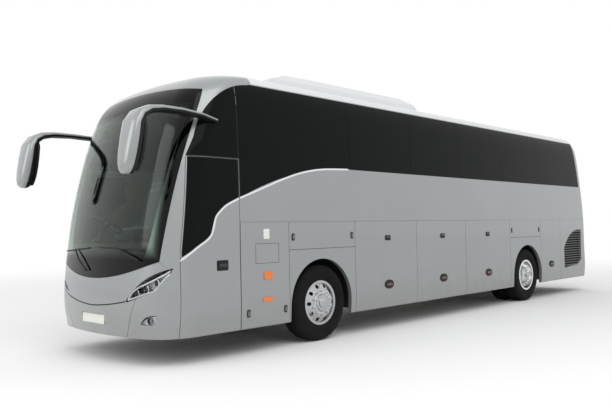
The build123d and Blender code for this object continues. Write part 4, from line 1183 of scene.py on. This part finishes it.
@dataclass
class RearFittings:
    """Lamp chambers, louvres, handle and blank plate of the rear."""

    lamp_x: float = 1040.0
    lamp_heights: Sequence[float] = (985, 1115, 1245, 1375)
    lamp: Plate = Plate(0.105, 0.105, 0.010, 1.0)
    amber_place: int = 2
    louvres: int = 12
    louvre_span: Triple = (720.0, 930.0, 1330.0)
    slat_width: float = 0.022
    slat_proud: float = 0.010
    pull_z: float = 820.0
    pull: Plate = Plate(0.160, 0.050, 0.014, 0.4)
    plate_z: float = 640.0
    plate: Plate = Plate(0.520, 0.111, 0.005, 0.12, 40)

    def build(self) -> None:
        """Build all the fittings of the rear."""
        lens = Skin("rear_lamps")
        lamps = Mould()
        for side in SIDES.values():
            for index, z in enumerate(self.lamp_heights):
                paint = 1 if index == self.amber_place else 0
                pad(lamps, lens.rear((side * self.lamp_x, z)), self.lamp, paint)
        lamps.piece("rear_lamp_chambers", ROOT_BODY, LAMP_RED, LAMP_AMBER)
        lid = Skin("engine_lid")
        slats = Mould()
        half, low, high = self.louvre_span
        for index in range(self.louvres):
            z = low + (high - low) * index / (self.louvres - 1)
            hits = [lid.rear((x, z)) for x in (-half, 0.0, half)]
            strip(slats, hits, self.slat_width, self.slat_proud)
        pad(slats, lid.rear((0.0, self.pull_z)), self.pull, 1)
        slats.piece("engine_lid_louvres", "engine_lid", BLACK_PLASTIC, GLOSS_BLACK)
        plate = Mould()
        pad(plate, Skin("rear_bumper").rear((0.0, self.plate_z)), self.plate)
        plate.piece("rear_plate_blank", ROOT_BODY, PLATE_WHITE)


@dataclass
class RoofFittings:
    """Fan guards of the roof pod, and two roof hatches."""

    fan_stations: Sequence[float] = (500.0, 1180.0, 1860.0)
    fan_radius: float = 0.24
    guard_rings: Sequence[float] = (1.0, 0.8, 0.6, 0.4, 0.2)
    guard_sides: int = 32
    spokes: int = 4
    wire: float = 0.004
    wire_sides: int = 6
    hatch_stations: Sequence[float] = (4300.0, 7000.0)
    hatch_half: float = 0.33
    hatch_sink: float = 0.004
    hatch_rise: float = 0.05
    hatch_round: float = 0.03

    def build(self) -> None:
        """Build the fittings of the roof."""
        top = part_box("roof_pod")[1].z
        guards = Mould()
        for station in self.fan_stations:
            centre = at(0, station, 0)
            centre.z = top
            for share in self.guard_rings:
                radius = self.fan_radius * share
                path = [centre + Vector((radius * math.cos(a), radius * math.sin(a), 0.0))
                        for a in (*turns(self.guard_sides), 2 * math.pi)]
                guards.tube(path, self.wire, self.wire_sides)
            for k in range(self.spokes):
                angle = math.pi * k / self.spokes
                reach = Vector((math.cos(angle), math.sin(angle), 0.0)) * self.fan_radius
                guards.tube([centre - reach, centre + reach], self.wire, self.wire_sides)
        guards.piece("pod_fan_guards", ROOT_BODY, BLACK_PLASTIC)
        roof_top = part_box("roof")[1].z
        hatches = Mould()
        for station in self.hatch_stations:
            centre = at(0, station, 0)
            half = self.hatch_half
            hatches.block(Vector((-half, centre.y - half, roof_top - self.hatch_sink)),
                          Vector((half, centre.y + half, roof_top + self.hatch_rise)), self.hatch_round)
        hatches.piece("roof_hatches", ROOT_BODY, ROOF_PAINT)


@dataclass
class Cabin:
    """Seats that show through the glass."""

    rows: int = 11
    first_station: float = -950.0
    pitch: float = 800.0
    platform: float = 1680.0
    deck: float = 1140.0
    places: Sequence[float] = (490.0, 930.0)
    place_half: float = 212.0
    driver_x: float = -610.0
    driver_station: float = -1960.0
    driver_share: float = 1.15
    foot_share: float = 0.8
    foot: Triple = (30.0, 320.0, 310.0)
    foot_round: float = 0.02
    cushions: Sequence[tuple[float, ...]] = (
        (205, 385, 1.0, 225, 78, 4.0), (510, 690, 1.0, 62, 330, -15.0), (612, 1020, 0.62, 48, 92, -12.0))

    def seat(self, mould: Mould, x: float, station: float, base: float, half: float) -> None:
        """Add one place: pedestal, cushion, leaning back and headrest."""
        reach = half * self.foot_share
        near, far, height = self.foot
        mould.block(at(x - reach, station + near, base), at(x + reach, station + far, base + height),
                    self.foot_round, paint=1)
        for behind, up, share, thick, tall, tilt in self.cushions:
            size = Vector((half * share, thick, tall)) * MILLIMETRE
            mould.pillow(at(x, station + behind, base + up), size, tilt)

    def build(self) -> None:
        """Build the seats in one piece."""
        mould = Mould()
        for row in range(self.rows):
            station = self.first_station + row * self.pitch
            for x in self.places:
                for side in SIDES.values():
                    self.seat(mould, side * x, station, self.platform, self.place_half)
        self.seat(mould, self.driver_x, self.driver_station, self.deck, self.place_half * self.driver_share)
        seats = mould.piece("seat_rows", ROOT_BODY, SEAT_CLOTH, BLACK_PLASTIC, crease=60.0)
        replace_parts(seats, "seats")


@dataclass
class Studio:
    """Plain pale floor, soft light and the camera."""

    eye: Triple = (7.562, -9.807, 1.5392)
    yaw: float = -44.26
    pitch: float = 2.13
    roll: float = -1.09
    lens: float = 39.32
    sensor: float = 36.0
    sight: float = 300.0
    floor_colour: Colour = shade(250, 250, 250)
    floor_reach: float = 80.0
    floor_roughness: float = 0.9
    light_share: float = 0.82
    fade_span: Flat = (7.0, 22.0)
    lamp_aim: Triple = (0.0, -1.0, 1.5)
    lamp_rows: Sequence[tuple[str, Triple, float, float]] = (
        ("key", (9.0, -6.0, 11.0), 10.0, 500.0), ("front_fill", (-2.0, -16.0, 7.0), 8.0, 350.0))

    def camera(self) -> None:
        """Set the camera at the photograph's viewing angle."""
        yaw, pitch, roll = (math.radians(value) for value in (self.yaw, self.pitch, self.roll))
        ahead = Vector((math.cos(pitch) * math.sin(yaw), math.cos(pitch) * math.cos(yaw), math.sin(pitch)))
        right = Vector((math.cos(yaw), -math.sin(yaw), 0.0))
        rise = right.cross(ahead)
        turned_right = right * math.cos(roll) + rise * math.sin(roll)
        turned_rise = rise * math.cos(roll) - right * math.sin(roll)
        data = bpy.data.cameras.new("view_camera")
        data.sensor_width = self.sensor
        data.lens = self.lens
        data.clip_end = self.sight
        camera = bpy.data.objects.new("view_camera", data)
        axes = Matrix((turned_right, turned_rise, -ahead)).transposed().to_4x4()
        camera.matrix_world = Matrix.Translation(Vector(self.eye)) @ axes
        bpy.context.scene.collection.objects.link(camera)
        bpy.context.scene.camera = camera

    def floor(self) -> None:
        """Lay the floor."""
        mesh = bpy.data.meshes.new("pale_floor")
        reach = self.floor_reach
        mesh.from_pydata([(-reach, -reach, 0), (reach, -reach, 0), (reach, reach, 0), (-reach, reach, 0)],
                         [], [(0, 1, 2, 3)])
        floor = bpy.data.objects.new("pale_floor", mesh)
        material = bpy.data.materials.new("pale_floor")
        material.use_nodes = True
        shader = material.node_tree.nodes["Principled BSDF"]
        shader.inputs["Base Color"].default_value = (*self.floor_colour, 1.0)
        shader.inputs["Roughness"].default_value = self.floor_roughness
        self.fade(Graph(material.node_tree), shader)
        mesh.materials.append(material)
        bpy.context.scene.collection.objects.link(floor)

    def fade(self, graph: Graph, shader: bpy.types.Node) -> None:
        """Let the floor turn into the white backdrop away from the object, as the camera shows it."""
        place = graph.node("NewGeometry", {}).outputs["Position"]
        reach = graph.node("VectorMath", {0: place}, operation="LENGTH").outputs["Value"]
        far = graph.ramp(reach, self.fade_span, (0.0, 1.0), interpolation_type="SMOOTHSTEP")
        share = graph.math("MULTIPLY", far, graph.node("LightPath", {}).outputs["Is Camera Ray"])
        white = graph.node("Emission", {}).outputs[0]
        mix = graph.node("MixShader", {"Fac": share, 1: shader.outputs[0], 2: white})
        graph.feed(graph.tree.nodes["Material Output"].inputs["Surface"], mix.outputs[0])

    def world(self) -> None:
        """Light softly from all round; the backdrop shows as white."""
        world = bpy.data.worlds.new("soft_studio")
        bpy.context.scene.world = world
        world.use_nodes = True
        graph = Graph(world.node_tree)
        back = world.node_tree.nodes["Background"].inputs
        graph.feed(back["Color"], (1.0, 1.0, 1.0))
        path = graph.node("LightPath", {}).outputs
        shown = path["Is Camera Ray"]
        for ray in ("Is Glossy Ray", "Is Transmission Ray"):
            shown = graph.math("MAXIMUM", shown, path[ray])
        graph.feed(back["Strength"], graph.ramp(shown, (0.0, 1.0), (self.light_share, 1.0)))

    def lamps(self) -> None:
        """Hang one large soft lamp over the camera's side and a weaker one ahead."""
        for name, place, size, power in self.lamp_rows:
            data = bpy.data.lights.new(name, "AREA")
            data.size = size
            data.energy = power
            lamp = bpy.data.objects.new(name, data)
            lamp.location = place
            lamp.rotation_euler = (Vector(self.lamp_aim) - Vector(place)).to_track_quat("-Z", "Y").to_euler()
            bpy.context.scene.collection.objects.link(lamp)

    def build(self) -> None:
        """Set up the studio."""
        self.camera()
        self.floor()
        self.world()
        self.lamps()
        bpy.context.scene.view_settings.view_transform = "Standard"


def main() -> None:
    """Build every sub-assembly in order."""
    logging.basicConfig(level=logging.INFO, format="%(name)s: %(message)s")
    BodyShell().dress()
    TyreSet().build()
    WheelFittings().build()
    MirrorPair().build()
    SweepHighlight().build()
    GlassSeals().build()
    sides = SideFittings()
    sides.build_fixed()
    sides.build_doors()
    FrontFittings().build()
    RearFittings().build()
    RoofFittings().build()
    Cabin().build()
    Studio().build()
    bpy.context.view_layer.update()


if __name__ == "__main__":
    main()
